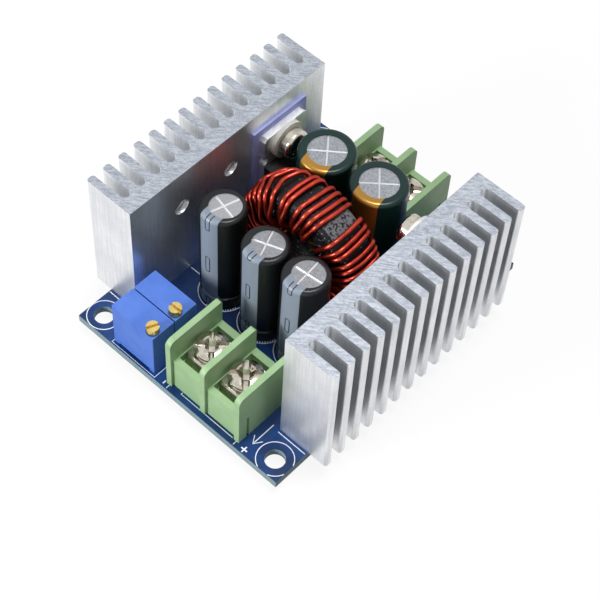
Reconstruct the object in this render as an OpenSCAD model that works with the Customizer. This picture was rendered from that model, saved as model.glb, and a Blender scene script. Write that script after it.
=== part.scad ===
// Step-down converter module: a small power board with two extruded heatsinks,
// a standing toroidal choke, five can capacitors, two multi-turn trimmers and
// two barrier terminal blocks.
// The output end faces -Y, the input end +Y, and the heatsinks run along Y.
// The module stands on its clipped and soldered pins, at z = 0.

/* [Board] */
// Length of the board, along the heatsinks
board_l = 60; // [60:0.5:64]
// Width of the board, across the heatsinks
board_w = 45.5; // [45:0.5:48]
// Thickness of the board
board_t = 1.6; // [1.2:0.2:2]
// Diameter of the corner mounting holes
mount_hole_d = 3.5; // [3.2:0.1:3.6]
// Distance of the mounting holes from both edges
mount_inset = 3; // [3:0.1:3.2]
// How far the soldered pins stand out under the board
tail_drop = 1.8; // [1.8:0.1:2.4]

/* [Heatsinks] */
// Width over both heatsinks
overall_w = 53; // [52.6:0.2:54]
// Length of one heatsink
sink_l = 45; // [44:0.5:45.5]
// Height of one heatsink
sink_h = 26.2; // [25.4:0.2:27]
// Depth of one heatsink, from its flat face to its fin tips
sink_depth = 9.9; // [9.6:0.1:10.2]
// Thickness of the web that carries the fins
web_t = 2.8; // [2.4:0.1:3.2]
// Number of fins
fin_count = 14; // [12:1:14]
// Thickness of a fin
fin_t = 1.5; // [1.3:0.1:1.6]
// Distance between the three tapped holes
sink_hole_pitch = 11.3; // [11:0.1:12]
// Height of the tapped holes above the board
sink_hole_z = 18; // [17:0.1:18.2]

/* [Choke] */
// Outer diameter of the bare ring core
core_od = 23.9; // [23:0.1:24]
// Inner diameter of the bare ring core
core_id = 14.2; // [13.8:0.1:14.6]
// Thickness of the ring core
core_t = 6.9; // [6.8:0.1:6.9]
// Diameter of the enamelled wire
wire_d = 0.85; // [0.8:0.05:0.85]
// Angle between neighbouring wires on the lower half of the ring
wire_pitch = 6.7; // [6.5:0.1:6.8]

/* [Capacitors] */
// Diameter of the three output capacitors
output_cap_d = 8; // [8:0.1:8.2]
// Diameter of the two input capacitors
input_cap_d = 10; // [9.6:0.1:10]
// Height of a capacitor over the board
cap_h = 21.8; // [18:0.2:22]

/* [Trimmers] */
// Length, width and height of a trimmer's case
trimmer_size = [9.53, 4.83, 10]; // [4:0.01:11]
// Diameter of the adjusting screw
trimmer_screw_d = 2.2; // [2:0.1:2.3]

/* [Terminals] */
// Distance between the two poles of a terminal block
pole_pitch = 7.62; // [7.62:0.01:7.8]
// Thickness of a barrier between poles
barrier_t = 1.1; // [1:0.1:1.2]
// Depth of a block, from the wire side to its back
block_depth = 11.8; // [11.6:0.1:12]
// Height of the barriers
block_h = 12.3; // [12:0.1:13]
// Diameter of a clamping screw's head
clamp_head_d = 5.8; // [5:0.1:6]

/* [Hidden] */
$fn = 64;

// small fits
gap = 0.05;
seat = 0.02;
board_z = tail_drop;
top_z = board_z + board_t;
sink_face_x = overall_w / 2 - sink_depth;

// Colours of the real parts
aluminium = "#C9CDD6";
nickel = "#C8C2B4";
tin = "#B9BDC2";
black_plastic = "#1C1C1E";
black_sleeve = "#141414";
green_sleeve = "#12403C";

// Parts pressed to each heatsink, counted from its flat face
pad_t = 0.5;
tab_t = 1.3;
washer_t = 0.8;
spring_t = 0.7;
screw_head_h = 1.6;
device_w = 10.16;
device_body_h = 9;
device_body_x = 4.4;
tab_rise = 3.1;
tab_top = sink_hole_z + tab_rise;
device_floor = tab_top - 15.6;
leg_pitch = 2.54;
leg_w = 0.8;
leg_t = 0.5;
leg_x = pad_t + 2.4;

// Capacitor places on the board
output_cap_at = [[-9, -9.4], [0.2, -9.3], [8.6, -9.3]];
output_cap_lean = [[-1, 0.95], [-0.1, 0.15], [0, 0.35]];
output_score = [75, 21, 6];
input_cap_at = [[-5.9, 11.7], [4.7, 12.35]];
input_cap_lean = [[0, 0], [0, 0.3]];
input_score = [39, 41];
can_h = cap_h - 0.3;
sleeve_t = 0.15;
lead_d = 0.6;

// Choke place and winding: two wires side by side, each with every other angle of the list
choke_at = [1.1, 0.35, 13.7];
seen_angles = [142, 133.5, 125, 115.5, 102.5, 97.3, 86.8, 80.3, 74, 68.5, 54.5, 48, 43, 34, 28];
rim_angles = concat(
    [for (i = [10:-1:1]) seen_angles[0] + 2 + i * wire_pitch], seen_angles,
    [for (i = [1:11]) seen_angles[14] - i * wire_pitch]);
turns = len(rim_angles) / 2 - 1;
wire_sides = 8;
wire_r = wire_d / 2;
wire_slack = 0.12;
outer_run = core_od / 2 + wire_r + wire_slack;
face_run = core_t / 2 + wire_r + wire_slack;
bore_run = core_id / 2 - wire_r - wire_slack;
bend_r = 1.6;
wire_lift = 0.65;
wire_step = wire_d + 0.12;
choke_lead_x = 11.9;
choke_lead_y = 1.7;

// Trimmers, with their long side along X
trimmer_x = -10.15;
trimmer_y = [-26.8, -21.75];
trimmer_screw_at = [3.5, -1.1];
trimmer_screw_rise = 1.3;
trimmer_screw_sink = 2.2;
trimmer_pin_d = 0.5;

// Terminal blocks, drawn with the wire side at y = 0 and the board at z = 0
output_block_x = 5.45;
input_block_x = -0.7;
output_block_edge = 1;
input_block_edge = 0.7;
block_w = 2 * pole_pitch + barrier_t;
ledge_z = 7;
pocket_z = 5.2;
contact_t = 1;
plate_t = 1;
clamp_y = 6.1;
clamp_head_h = 2.2;
clamp_shank_d = 2.9;
clamp_shank_l = 5.6;
contact_z = pocket_z + contact_t;
plate_z = contact_z + gap;
clamp_z = plate_z + plate_t + gap;
contact_pin_y = 9.5;
pole_x = [-pole_pitch / 2, pole_pitch / 2];

// Small parts under the board
chip_drop = 0.12;

// Pins through the board: x, y and the radius of the hole in the board
function cap_pins(at, pitch, turn) = [for (s = [-1, 1])
    [at[0] + s * pitch / 2 * cos(turn), at[1] + s * pitch / 2 * sin(turn), lead_d / 2 + 0.15]];
output_cap_pitch = 3.5;
input_cap_pitch = 5;
cap_pin_list = concat(
    [for (at = output_cap_at, p = cap_pins(at, output_cap_pitch, 90)) p],
    [for (at = input_cap_at, p = cap_pins(at, input_cap_pitch, 0)) p]);
device_pin_list = [for (side = [-1, 1], i = [-1, 0, 1])
    [side * (sink_face_x - leg_x - leg_t / 2), sink_hole_pitch + i * leg_pitch, 0.6]];
trimmer_pin_list = [for (y = trimmer_y, i = [-1, 0, 1])
    [trimmer_x + i * leg_pitch, y + trimmer_screw_at[1] + 1.2, trimmer_pin_d / 2 + 0.15]];
contact_pin_list = concat(
    [for (x = pole_x) [output_block_x + x, -board_l / 2 + output_block_edge + contact_pin_y, 0.85]],
    [for (x = pole_x) [input_block_x - x, board_l / 2 - input_block_edge - contact_pin_y, 0.85]]);
choke_pin_list = [for (side = [-1, 1], wire = [0, 1])
    [choke_at[0] + side * choke_lead_x, choke_at[1] + (1 - 2 * wire) * choke_lead_y, wire_r + 0.15]];
pin_list = concat(cap_pin_list, device_pin_list, trimmer_pin_list, contact_pin_list, choke_pin_list);

// A rectangle whose four corners have radius r
module rounded_plate(size, r) {
    for (x = [-1, 1], y = [-1, 1])
        translate([x * (size[0] / 2 - r), y * (size[1] / 2 - r)]) circle(r);
    square([size[0], size[1] - 2 * r], center = true);
    square([size[0] - 2 * r, size[1]], center = true);
}

module circuit_board() {
    color("#1F4E8C") translate([0, 0, board_z]) linear_extrude(board_t) difference() {
        square([board_w, board_l], center = true);
        for (x = [-1, 1], y = [-1, 1])
            translate([x * (board_w / 2 - mount_inset), y * (board_l / 2 - mount_inset)])
                circle(d = mount_hole_d);
        for (p = pin_list) translate([p[0], p[1]]) circle(p[2]);
    }
}

// One fin as seen from above, its root on the web and its tip rounded
module fin_outline() {
    tip_r = 0.5;
    translate([0, -fin_t / 2]) square([sink_depth - tip_r, fin_t]);
    translate([0, tip_r - fin_t / 2]) square([sink_depth, fin_t - 2 * tip_r]);
    for (s = [-1, 1]) translate([sink_depth - tip_r, s * (fin_t / 2 - tip_r)]) circle(tip_r);
}

// The extruded comb: a web with fins, and a round floor in every slot
module sink_outline() {
    fin_pitch = (sink_l - fin_t) / (fin_count - 1);
    slot_r = (fin_pitch - fin_t) / 2;
    difference() {
        translate([0, -sink_l / 2]) square([web_t + slot_r, sink_l]);
        for (i = [0:fin_count - 2])
            translate([web_t + slot_r, -sink_l / 2 + fin_t / 2 + (i + 0.5) * fin_pitch]) circle(slot_r);
    }
    for (i = [0:fin_count - 1])
        translate([0, -sink_l / 2 + fin_t / 2 + i * fin_pitch]) fin_outline();
}

// One heatsink on the +X side, with its flat face towards the choke
module heatsink() {
    tap_d = 3;
    tap_depth = 2.5;
    color(aluminium) translate([sink_face_x, 0, top_z]) difference() {
        linear_extrude(sink_h) sink_outline();
        for (i = [-1:1]) translate([-1, i * sink_hole_pitch, sink_hole_z])
            rotate([0, 90, 0]) cylinder(d = tap_d, h = tap_depth + 1);
    }
}

// Places a part of the +X device: its own x counts away from the heatsink's face
module on_sink_face() {
    translate([sink_face_x, sink_hole_pitch, top_z]) mirror([1, 0, 0]) children();
}

module thermal_pad() {
    pad_w = 12.6;
    pad_l = 18;
    pad_top = tab_top + 1.4;
    color("#6E7FD0") on_sink_face() difference() {
        translate([0, -pad_w / 2, pad_top - pad_l]) cube([pad_t, pad_w, pad_l]);
        translate([-1, 0, sink_hole_z]) rotate([0, 90, 0]) cylinder(d = 3.6, h = pad_t + 2);
    }
}

// One leg from inside the body to its soldered end, with a wide shoulder
module device_leg(y) {
    shoulder_w = 1.3;
    shoulder_l = 3.2;
    hidden_l = 1;
    translate([leg_x, y - shoulder_w / 2, device_floor - shoulder_l])
        cube([leg_t, shoulder_w, shoulder_l + hidden_l]);
    translate([leg_x, y - leg_w / 2, -board_t - tail_drop + 0.3])
        cube([leg_t, leg_w, device_floor - shoulder_l + board_t + tail_drop - 0.3]);
}

// The copper frame: mounting tab, three legs, and the link to the middle one
module device_leadframe() {
    tab_foot = device_floor + 0.5;
    notch_z = device_floor + device_body_h + 1.1;
    color(tin) on_sink_face() {
        difference() {
            translate([pad_t, -device_w / 2, tab_foot])
                cube([tab_t, device_w, tab_top - tab_foot]);
            translate([0, 0, sink_hole_z]) rotate([0, 90, 0]) cylinder(d = 3.7, h = 4);
            for (s = [-1, 1]) {
                translate([0, s * device_w / 2, notch_z])
                    rotate([0, 90, 0]) cylinder(d = 1.5, h = 4);
                translate([0, s * device_w / 2, tab_top])
                    rotate([45, 0, 0]) cube([8, 0.9, 0.9], center = true);
            }
        }
        for (i = [-1:1]) device_leg(i * leg_pitch);
        translate([pad_t + tab_t - 0.1, -0.65, device_floor + 0.5])
            cube([leg_x - pad_t - tab_t + 0.2, 1.3, 0.5]);
    }
}

// The moulded body, its front edges drafted and a pin mark in its face
module device_body() {
    front_x = pad_t + device_body_x;
    back_x = pad_t + tab_t;
    chamfer = 0.5;
    color(black_plastic) on_sink_face() difference() {
        translate([0, device_w / 2, 0]) rotate([90, 0, 0]) linear_extrude(device_w) polygon([
            [back_x, device_floor], [front_x - chamfer, device_floor],
            [front_x, device_floor + chamfer],
            [front_x, device_floor + device_body_h - 2 * chamfer],
            [front_x - chamfer, device_floor + device_body_h], [back_x, device_floor + device_body_h]]);
        for (i = [-1:1]) device_leg(i * leg_pitch);
        translate([back_x - 1, -0.65, device_floor + 0.5]) cube([leg_x - back_x + 1.2, 1.3, 0.5]);
        translate([front_x - 0.15, 0, device_floor + device_body_h - 2.2])
            rotate([0, 90, 0]) cylinder(d = 1.6, h = 1);
    }
}

// The shouldered insulating washer, its neck inside the tab's hole
module insulating_washer() {
    color("#D8D8D2") on_sink_face() translate([pad_t + tab_t, 0, sink_hole_z])
        rotate([0, 90, 0]) difference() {
            union() {
                cylinder(d = 7, h = washer_t);
                translate([0, 0, -tab_t + 0.2]) cylinder(d = 3.6, h = tab_t);
            }
            translate([0, 0, -2]) cylinder(d = 3.1, h = 4);
        }
}

module spring_washer() {
    color(nickel) on_sink_face() translate([pad_t + tab_t + washer_t, 0, sink_hole_z])
        rotate([0, 90, 0]) difference() {
            cylinder(d = 5.4, h = spring_t);
            translate([0, 0, -1]) cylinder(d = 3.1, h = 3);
            rotate(-70) translate([0, -0.3, -1]) cube([4, 0.6, 3]);
        }
}

// The pan head's outline from its axis outwards, seat at z = 0
module pan_profile(d, h) {
    dome_r = h * 0.55;
    square([d / 2, h - dome_r]);
    square([d / 2 - dome_r, h]);
    translate([d / 2 - dome_r, h - dome_r]) circle(dome_r);
}

// A cross recess of four tapered wings, cut downwards from z = 0
module cross_recess(width, wing, depth) {
    for (a = [0, 90]) rotate([0, 0, a]) rotate([90, 0, 0])
        linear_extrude(wing, center = true)
            polygon([[-width / 2, 0.1], [width / 2, 0.1], [wing / 2, -depth], [-wing / 2, -depth]]);
}

module heatsink_screw() {
    seat_x = pad_t + tab_t + washer_t + spring_t;
    shank_l = seat_x + 2.2;
    color(nickel) on_sink_face() translate([seat_x, 0, sink_hole_z]) rotate([0, 90, 0]) difference() {
        union() {
            rotate_extrude() intersection() {
                pan_profile(5.5, screw_head_h);
                square(5);
            }
            translate([0, 0, -shank_l]) cylinder(d = 2.9, h = shank_l);
        }
        translate([0, 0, screw_head_h]) rotate([0, 0, 20]) cross_recess(3.4, 0.95, 1.1);
    }
}

// Stands a part of a capacitor on its place; its top leans by the given offset
module standing(at, lean) {
    translate([at[0], at[1], top_z + cap_h - can_h])
        rotate([-atan(lean[1] / can_h), atan(lean[0] / can_h), 0]) children();
}

// Half of a capacitor can's section; shrink takes a skin off it
module can_outline(d, shrink) {
    corner_r = 0.75;
    groove_z = 2.6;
    groove_r = 0.5;
    r = d / 2;
    difference() {
        union() {
            square([r - shrink, can_h - corner_r]);
            square([r - corner_r, can_h - shrink]);
            translate([r - corner_r, can_h - corner_r]) circle(corner_r - shrink);
        }
        translate([r + 0.15, groove_z]) circle(groove_r + shrink);
    }
}

// The aluminium can, its top scored with a cross of V grooves that lets it vent, open at the seal
module can(at, lean, d, score_angle) {
    seal_h = 1.4;
    score_l = d * 0.74;
    score_w = 0.32;
    color(aluminium) standing(at, lean) difference() {
        rotate_extrude() intersection() {
            can_outline(d, sleeve_t + seat);
            square([d, cap_h]);
        }
        translate([0, 0, -1]) cylinder(d = d - 1.6, h = seal_h + 1);
        translate([0, 0, can_h - sleeve_t - seat]) for (a = [0, 90])
            rotate([0, 0, score_angle + a]) rotate([45, 0, 0])
                cube([score_l, score_w, score_w], center = true);
    }
}

// The shrunk sleeve, curled over the can's rim and leaving its disc bare, not quite in the middle
module sleeve(at, lean, d, tint) {
    bare_r = d * (d < 9 ? 0.345 : 0.335);
    aside = d < 9 ? [0.27, 0.22] : [0, 0];
    color(tint) standing(at, lean) difference() {
        rotate_extrude() intersection() {
            difference() {
                can_outline(d, 0);
                can_outline(d, sleeve_t);
            }
            square([d, cap_h]);
        }
        translate([aside[0], aside[1], can_h - 0.5]) cylinder(r = bare_r, h = 1);
    }
}

// Rubber seals in the mouths of the cans, their holes wide enough for the upright leads
module cap_seals(places, leans, d, pitch, turn) {
    seal_h = 1.35;
    color("#3A3A3C") for (i = [0:len(places) - 1]) standing(places[i], leans[i]) difference() {
        cylinder(d = d - 1.6 - 2 * seat, h = seal_h);
        rotate([0, 0, turn]) for (s = [-1, 1]) translate([s * pitch / 2, 0, -1])
            cylinder(r = lead_d / 2 + seat + norm(leans[i]) / can_h * seal_h, h = seal_h + 2);
    }
}

module cap_leads(places, pitch, turn) {
    lead_top = top_z + 1.5;
    lead_foot = 0.3;
    color(tin) for (at = places) translate([at[0], at[1], lead_foot]) rotate([0, 0, turn])
        for (s = [-1, 1]) translate([s * pitch / 2, 0, 0]) cylinder(d = lead_d, h = lead_top - lead_foot);
}

// The coated ring core, standing with its axis along Y
module choke_core() {
    ring_w = (core_od - core_id) / 2;
    color("#1B1B1D") translate([choke_at[0], choke_at[1], choke_at[2] + top_z]) rotate([90, 0, 0])
        rotate_extrude() translate([(core_od + core_id) / 4, 0]) rounded_plate([ring_w, core_t], 1.2);
}

// How far a wire leans from the front to the rear of the rim, bows sideways and stands off the core
function lean(a) = a > 142 ? max(0, 8 - 0.25 * (a - 142)) : max(-2, min(8, 0.2 * (a - 95)));
function bow(a) = a > 142 ? max(0, 9 - 0.25 * (a - 142)) : a < 28 ? min(0, 0.25 * (28 - a) - 7)
    : 0.15 * (a - 75);
function bulge(a) = max(0.05, 0.55 - abs(a - 135) / 60);
function pair_angle(t) = (rim_angles[2 * t] + rim_angles[2 * t + 1]) / 2;
function unit(v) = v / norm(v);

// A point of the winding: distance from the core's axis, place along that axis, angle
function ring_point(r, y, a) =
    [choke_at[0] + r * cos(a), choke_at[1] + y, choke_at[2] + top_z + r * sin(a)];

// The bend from a face of the core onto its rim, and the same bend the other way round
function rim_bend(side, a) = [for (k = [0:2]) let (turn = side > 0 ? k * 45 : 90 - k * 45) ring_point(
    outer_run - bend_r + bend_r * cos(turn), side * (face_run - bend_r + bend_r * sin(turn)), a)];
function bore_bend(side, step, lift, a) = let (r = bend_r + step)
    [for (k = [0:2]) let (turn = side > 0 ? 90 - k * 45 : k * 45) ring_point(
        bore_run + bend_r - r * cos(turn), side * (face_run + lift - r + r * sin(turn)), a)];

// From the rim's rear edge, down the rear face, through the bore, and up the front face to the next turn
function inner_half(wire, t) = let (
    here = rim_angles[2 * t + wire] + lean(rim_angles[2 * t + wire]) / 2,
    next_rim = rim_angles[2 * t + 2 + wire],
    next = next_rim - lean(next_rim) / 2,
    aside = (0.5 - wire) * wire_pitch * 0.9,
    span = pair_angle(t + 1) - pair_angle(t),
    rear = pair_angle(t) + 0.4 * span + aside,
    front = pair_angle(t) + 0.7 * span + aside,
    lift = wire * wire_lift,
    step = wire * wire_step,
    inner_r = core_id / 2 + 1.6)
    concat(
        rim_bend(1, here),
        [ring_point(inner_r, face_run + lift, (here + 3 * rear) / 4)],
        bore_bend(1, step, lift, rear),
        bore_bend(-1, step, lift, front),
        [ring_point(inner_r, -face_run - lift, (next + 3 * front) / 4)],
        rim_bend(-1, next));

// The rim's middle, where a wire stands off the core and bows sideways
function rim_middle(wire, t) = let (a = rim_angles[2 * t + wire])
    [ring_point(outer_run + bulge(a), 0, a + bow(a))];

// The winding's route: a lead up from the board, all the turns, and a lead down
function wire_route(wire) = let (
    start = choke_pin_list[wire],
    end = choke_pin_list[2 + wire],
    lead_z = top_z + 3.6)
    concat(
        [[start[0], start[1], 0.3], [start[0], start[1], top_z + 1], [start[0], start[1], lead_z],
         ring_point(outer_run + 0.1, start[1] + 0.6, rim_angles[wire])],
        [for (t = [0:turns - 1], p = concat(t > 0 ? rim_middle(wire, t) : [], inner_half(wire, t))) p],
        [ring_point(outer_run + 0.1, end[1] - 0.6, rim_angles[2 * turns + wire]),
         [end[0], end[1], lead_z], [end[0], end[1], top_z + 1], [end[0], end[1], 0.3]]);

// A round wire along a route, each ring carried on from the one before it
module wire(route) {
    n = len(route);
    tangents = [for (k = [0:n - 1]) unit(route[min(k + 1, n - 1)] - route[max(k - 1, 0)])];
    normals = [for (k = 0, u = [1, 0, 0]; k < n; k = k + 1,
        u = k < n ? unit(u - (u * tangents[k]) * tangents[k]) : u) u];
    points = [for (k = [0:n - 1], j = [0:wire_sides - 1]) let (
        u = unit(normals[k] - (normals[k] * tangents[k]) * tangents[k]),
        v = cross(tangents[k], u), a = 360 / wire_sides * j)
        route[k] + wire_r * (cos(a) * u + sin(a) * v)];
    walls = [for (k = [0:n - 2], j = [0:wire_sides - 1]) let (
        a = k * wire_sides + j, b = k * wire_sides + (j + 1) % wire_sides)
        each [[a, a + wire_sides, b], [b, a + wire_sides, b + wire_sides]]];
    first_cap = [for (j = [0:wire_sides - 1]) j];
    last_cap = [for (j = [wire_sides - 1:-1:0]) (n - 1) * wire_sides + j];
    polyhedron(points, concat(walls, [first_cap, last_cap]));
}

module choke_wire_a() { color("#C8321E") wire(wire_route(0)); }
module choke_wire_b() { color("#C8321E") wire(wire_route(1)); }

// The moulded case, on small feet, with a bore for the adjusting screw
module trimmer_case(y) {
    foot = 0.4;
    color("#5B7FE0") translate([trimmer_x, y, top_z]) difference() {
        linear_extrude(trimmer_size[2])
            rounded_plate([trimmer_size[0], trimmer_size[1]], 0.15);
        cube([trimmer_size[0] - 2.4, trimmer_size[1] + 1, 2 * foot], center = true);
        translate([trimmer_screw_at[0], trimmer_screw_at[1], trimmer_size[2] - trimmer_screw_sink])
            cylinder(d = trimmer_screw_d + 2 * gap, h = 5);
        for (i = [-1:1]) translate([i * leg_pitch, trimmer_screw_at[1] + 1.2, -1])
            cylinder(d = trimmer_pin_d + 2 * seat, h = 3);
    }
}

// The brass adjusting screw, slotted across its top
module trimmer_screw(y, slot_turn) {
    length = trimmer_screw_sink - gap + trimmer_screw_rise;
    color("#C9A24A")
        translate([trimmer_x + trimmer_screw_at[0], y + trimmer_screw_at[1],
                   top_z + trimmer_size[2] + trimmer_screw_rise - length])
        difference() {
            cylinder(d = trimmer_screw_d, h = length);
            translate([0, 0, length]) rotate([0, 0, slot_turn])
                cube([trimmer_screw_d + 1, 0.5, 1.2], center = true);
        }
}

module trimmer_pins() {
    color(tin) for (p = trimmer_pin_list) translate([p[0], p[1], 0.3])
        cylinder(d = trimmer_pin_d, h = top_z + 1.6);
}

// Turns a block drawn with its wire side at y = 0 to the output or the input end
module at_output() {
    translate([output_block_x, -board_l / 2 + output_block_edge, top_z]) children();
}
module at_input() {
    translate([input_block_x, board_l / 2 - input_block_edge, top_z]) rotate([0, 0, 180]) children();
}

// Outline of a barrier seen from the side, its upper front corner rounded
module barrier_outline() {
    front_r = 1.3;
    back_r = 0.4;
    difference() {
        square([block_depth, block_h]);
        translate([0, block_h - front_r]) square(front_r);
        translate([block_depth - back_r, block_h - back_r]) square(back_r);
    }
    translate([front_r, block_h - front_r]) circle(front_r);
    translate([block_depth - back_r, block_h - back_r]) circle(back_r);
}

// The green housing: three barriers, and between them pockets for the clamps
module terminal_housing() {
    recess = 0.55;
    pocket_w = pole_pitch - barrier_t - 0.5;
    wall_front = 1.75;
    pocket_l = 8.7;
    well_d = 4.9;
    groove_w = 0.5;
    color("#86B56B") difference() {
        union() {
            for (i = [-1:1]) translate([i * pole_pitch - barrier_t / 2, 0, 0])
                rotate([90, 0, 90]) linear_extrude(barrier_t) barrier_outline();
            translate([-pole_pitch, recess, 0]) cube([2 * pole_pitch, block_depth - recess, ledge_z]);
        }
        for (x = pole_x) {
            translate([x - pocket_w / 2, wall_front, pocket_z]) cube([pocket_w, pocket_l, 5]);
            translate([x, clamp_y, 1.2]) cylinder(d = well_d, h = 6);
            translate([x - 0.8, contact_pin_y - 0.65, -1]) cube([1.6, 1.3, 8]);
        }
        translate([-block_w / 2 - 1, 1.8, -1]) cube([1.35, groove_w, 6.5]);
        translate([block_w / 2 - 0.35, 1.8, -1]) cube([1.35, groove_w, 6.5]);
    }
}

// The plated contact: strip, threaded boss and soldering leg in one piece
module contact(x) {
    strip_w = 4.5;
    strip_y = 3.35;
    boss_d = 4.6;
    boss_h = 2.4;
    color(tin) translate([x, 0, 0]) difference() {
        union() {
            translate([-strip_w / 2, strip_y, pocket_z])
                cube([strip_w, contact_pin_y + 0.4 - strip_y, contact_t]);
            translate([0, clamp_y, pocket_z - boss_h]) cylinder(d = boss_d, h = boss_h + 0.1);
            translate([-0.55, contact_pin_y - 0.4, -board_t - tail_drop + 0.3])
                cube([1.1, 0.8, board_t + tail_drop - 0.3 + contact_z]);
        }
        translate([0, clamp_y, -1]) cylinder(d = clamp_shank_d + 2 * gap, h = 12);
    }
}

// The clamping plate: its sides turned down beside the contact, its front bent down into the pocket
module clamp_plate(x) {
    plate_w = 5.7;
    lip_t = 0.5;
    lip_h = 0.35;
    front = -plate_w / 2;
    color(nickel) translate([x, clamp_y, plate_z]) difference() {
        union() {
            linear_extrude(plate_t) rounded_plate([plate_w, plate_w], 0.4);
            for (s = [-1, 1]) translate([s * (plate_w - lip_t) / 2 - lip_t / 2, front + 0.4, -lip_h])
                cube([lip_t, plate_w - 0.8, lip_h + 0.1]);
            rotate([90, 0, 90]) linear_extrude(plate_w - 0.6, center = true) polygon([
                [front + 0.3, plate_t], [front - 0.3, 0.65], [front - 0.85, -0.85],
                [front - 0.4, -0.85], [front, 0], [front + 0.3, 0]]);
        }
        translate([0, 0, -1]) cylinder(d = clamp_shank_d + 2 * gap, h = 4);
    }
}

// Half of the clamping screw's section: shank, captive washer, neck and domed head
module clamp_screw_profile() {
    r = clamp_head_d / 2;
    polygon([
        [0, -clamp_shank_l], [clamp_shank_d / 2 - 0.3, -clamp_shank_l],
        [clamp_shank_d / 2, 0.3 - clamp_shank_l], [clamp_shank_d / 2, 0],
        [r - 0.25, 0], [r - 0.25, 0.45], [r - 0.55, 0.65], [r - 0.45, 0.85],
        [r - 0.05, 1.05], [r, 1.2], [r, 1.6], [r - 0.15, 1.85], [r - 0.55, 2.08],
        [r - 1.2, clamp_head_h], [0, clamp_head_h]]);
}

// A trapezoid groove across a screw's head, cut downwards from z = 0
module head_groove(top_w, floor_w, depth) {
    slope = (top_w - floor_w) / 2 / depth;
    rotate([90, 0, 90]) linear_extrude(clamp_head_d + 2, center = true) polygon([
        [-top_w / 2 - 0.5 * slope, 0.5], [top_w / 2 + 0.5 * slope, 0.5],
        [floor_w / 2, -depth], [-floor_w / 2, -depth]]);
}

// The clamping screw: two grooves from rim to rim leave four lobes round a deep cross recess
module clamp_screw(x, recess_turn) {
    color(nickel) translate([x, clamp_y, clamp_z]) difference() {
        rotate_extrude() clamp_screw_profile();
        translate([0, 0, clamp_head_h]) rotate([0, 0, recess_turn]) {
            head_groove(1.5, 0.7, 0.85);
            rotate([0, 0, 90]) head_groove(1.1, 0.3, 0.7);
            cross_recess(4, 1, 1.5);
            translate([0, 0, -1.25]) cylinder(r1 = 0.5, r2 = 1.5, h = 1.5);
        }
    }
}

// One soldered pin under the board: a concave cone that closes over the pin's end
module solder_cone(pin_r) {
    foot_r = pin_r + 0.6;
    tip_r = pin_r + 0.1;
    difference() {
        rotate_extrude() difference() {
            square([foot_r, tail_drop]);
            translate([foot_r, 0]) circle(foot_r - tip_r);
        }
        translate([0, 0, 0.25]) cylinder(r = pin_r - 0.1, h = 3);
    }
}

module solder_joints() {
    color(tin) for (p = pin_list) translate([p[0], p[1], 0]) solder_cone(p[2]);
}

// A flat chip body hanging under the board, with a dot in its lower face at pin one
module chip_body(at, size) {
    color(black_plastic) translate([at[0], at[1], board_z - chip_drop - size[2]]) difference() {
        linear_extrude(size[2]) square([size[0], size[1]], center = true);
        translate([-size[0] / 2 + 0.9, -size[1] / 2 + 0.9, -0.9]) cylinder(d = 0.8, h = 1);
    }
}

// Bent legs down both long sides of a chip
module chip_legs(at, size, count) {
    pitch = 1.27;
    reach = 1.1;
    color(tin) for (side = [-1, 1], i = [0:count - 1])
        translate([at[0] + (i - (count - 1) / 2) * pitch - 0.2, at[1], board_z])
            rotate([90, 0, 90]) linear_extrude(0.4) polygon([
                for (p = [[size[1] / 2, -0.7], [size[1] / 2 + 0.5, -0.7],
                          [size[1] / 2 + 0.5, -0.18], [size[1] / 2 + reach, -0.18],
                          [size[1] / 2 + reach, 0], [size[1] / 2 + 0.3, 0],
                          [size[1] / 2 + 0.3, -0.52], [size[1] / 2, -0.52]])
                [side * p[0], p[1]]]);
}

controller_at = [0.5, 0.2];
controller_size = [9.9, 3.9, 1.45];
amplifier_at = [-6.6, 5.4];
amplifier_size = [4.9, 3.9, 1.45];

// Flat two-ended chips soldered under the board
module flat_chips(places, size) {
    for (p = places) translate([p[0], p[1], board_z - size[2]]) rotate([0, 0, p[2]])
        translate([-size[0] / 2, -size[1] / 2, 0]) cube(size);
}

shunt_places = [[-4, -16.4, 0], [4.6, -16.4, 0]];
resistor_places = [[-12, -14, 0], [-12, -11.8, 0], [-5, -5, 90], [-2.8, -5, 90], [5.4, -5, 90],
                   [-10, 8.6, 0], [10, -5, 0], [10, 5.6, 0]];
capacitor_places = [[8.6, 0.6, 90], [-6.6, -0.4, 90], [3, 4.6, 0], [-2.4, 4.6, 0], [12.4, -12, 90]];

module output_can(i) { can(output_cap_at[i], output_cap_lean[i], output_cap_d, output_score[i]); }
module input_can(i) { can(input_cap_at[i], input_cap_lean[i], input_cap_d, input_score[i]); }
module output_sleeve(i) { sleeve(output_cap_at[i], output_cap_lean[i], output_cap_d, black_sleeve); }
module input_sleeve(i) { sleeve(input_cap_at[i], input_cap_lean[i], input_cap_d, green_sleeve); }
module output_cap_seals() { cap_seals(output_cap_at, output_cap_lean, output_cap_d, output_cap_pitch, 90); }
module output_cap_leads() { cap_leads(output_cap_at, output_cap_pitch, 90); }
module input_cap_seals() { cap_seals(input_cap_at, input_cap_lean, input_cap_d, input_cap_pitch, 0); }
module input_cap_leads() { cap_leads(input_cap_at, input_cap_pitch, 0); }

module current_shunts() { color("#8E9096") flat_chips(shunt_places, [6.3, 3.2, 0.6]); }
module chip_resistors() { color("#202024") flat_chips(resistor_places, [2, 1.25, 0.5]); }
module chip_capacitors() { color("#A58B6B") flat_chips(capacitor_places, [2, 1.25, 0.85]); }

module left_side() { mirror([1, 0, 0]) children(); }

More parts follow.
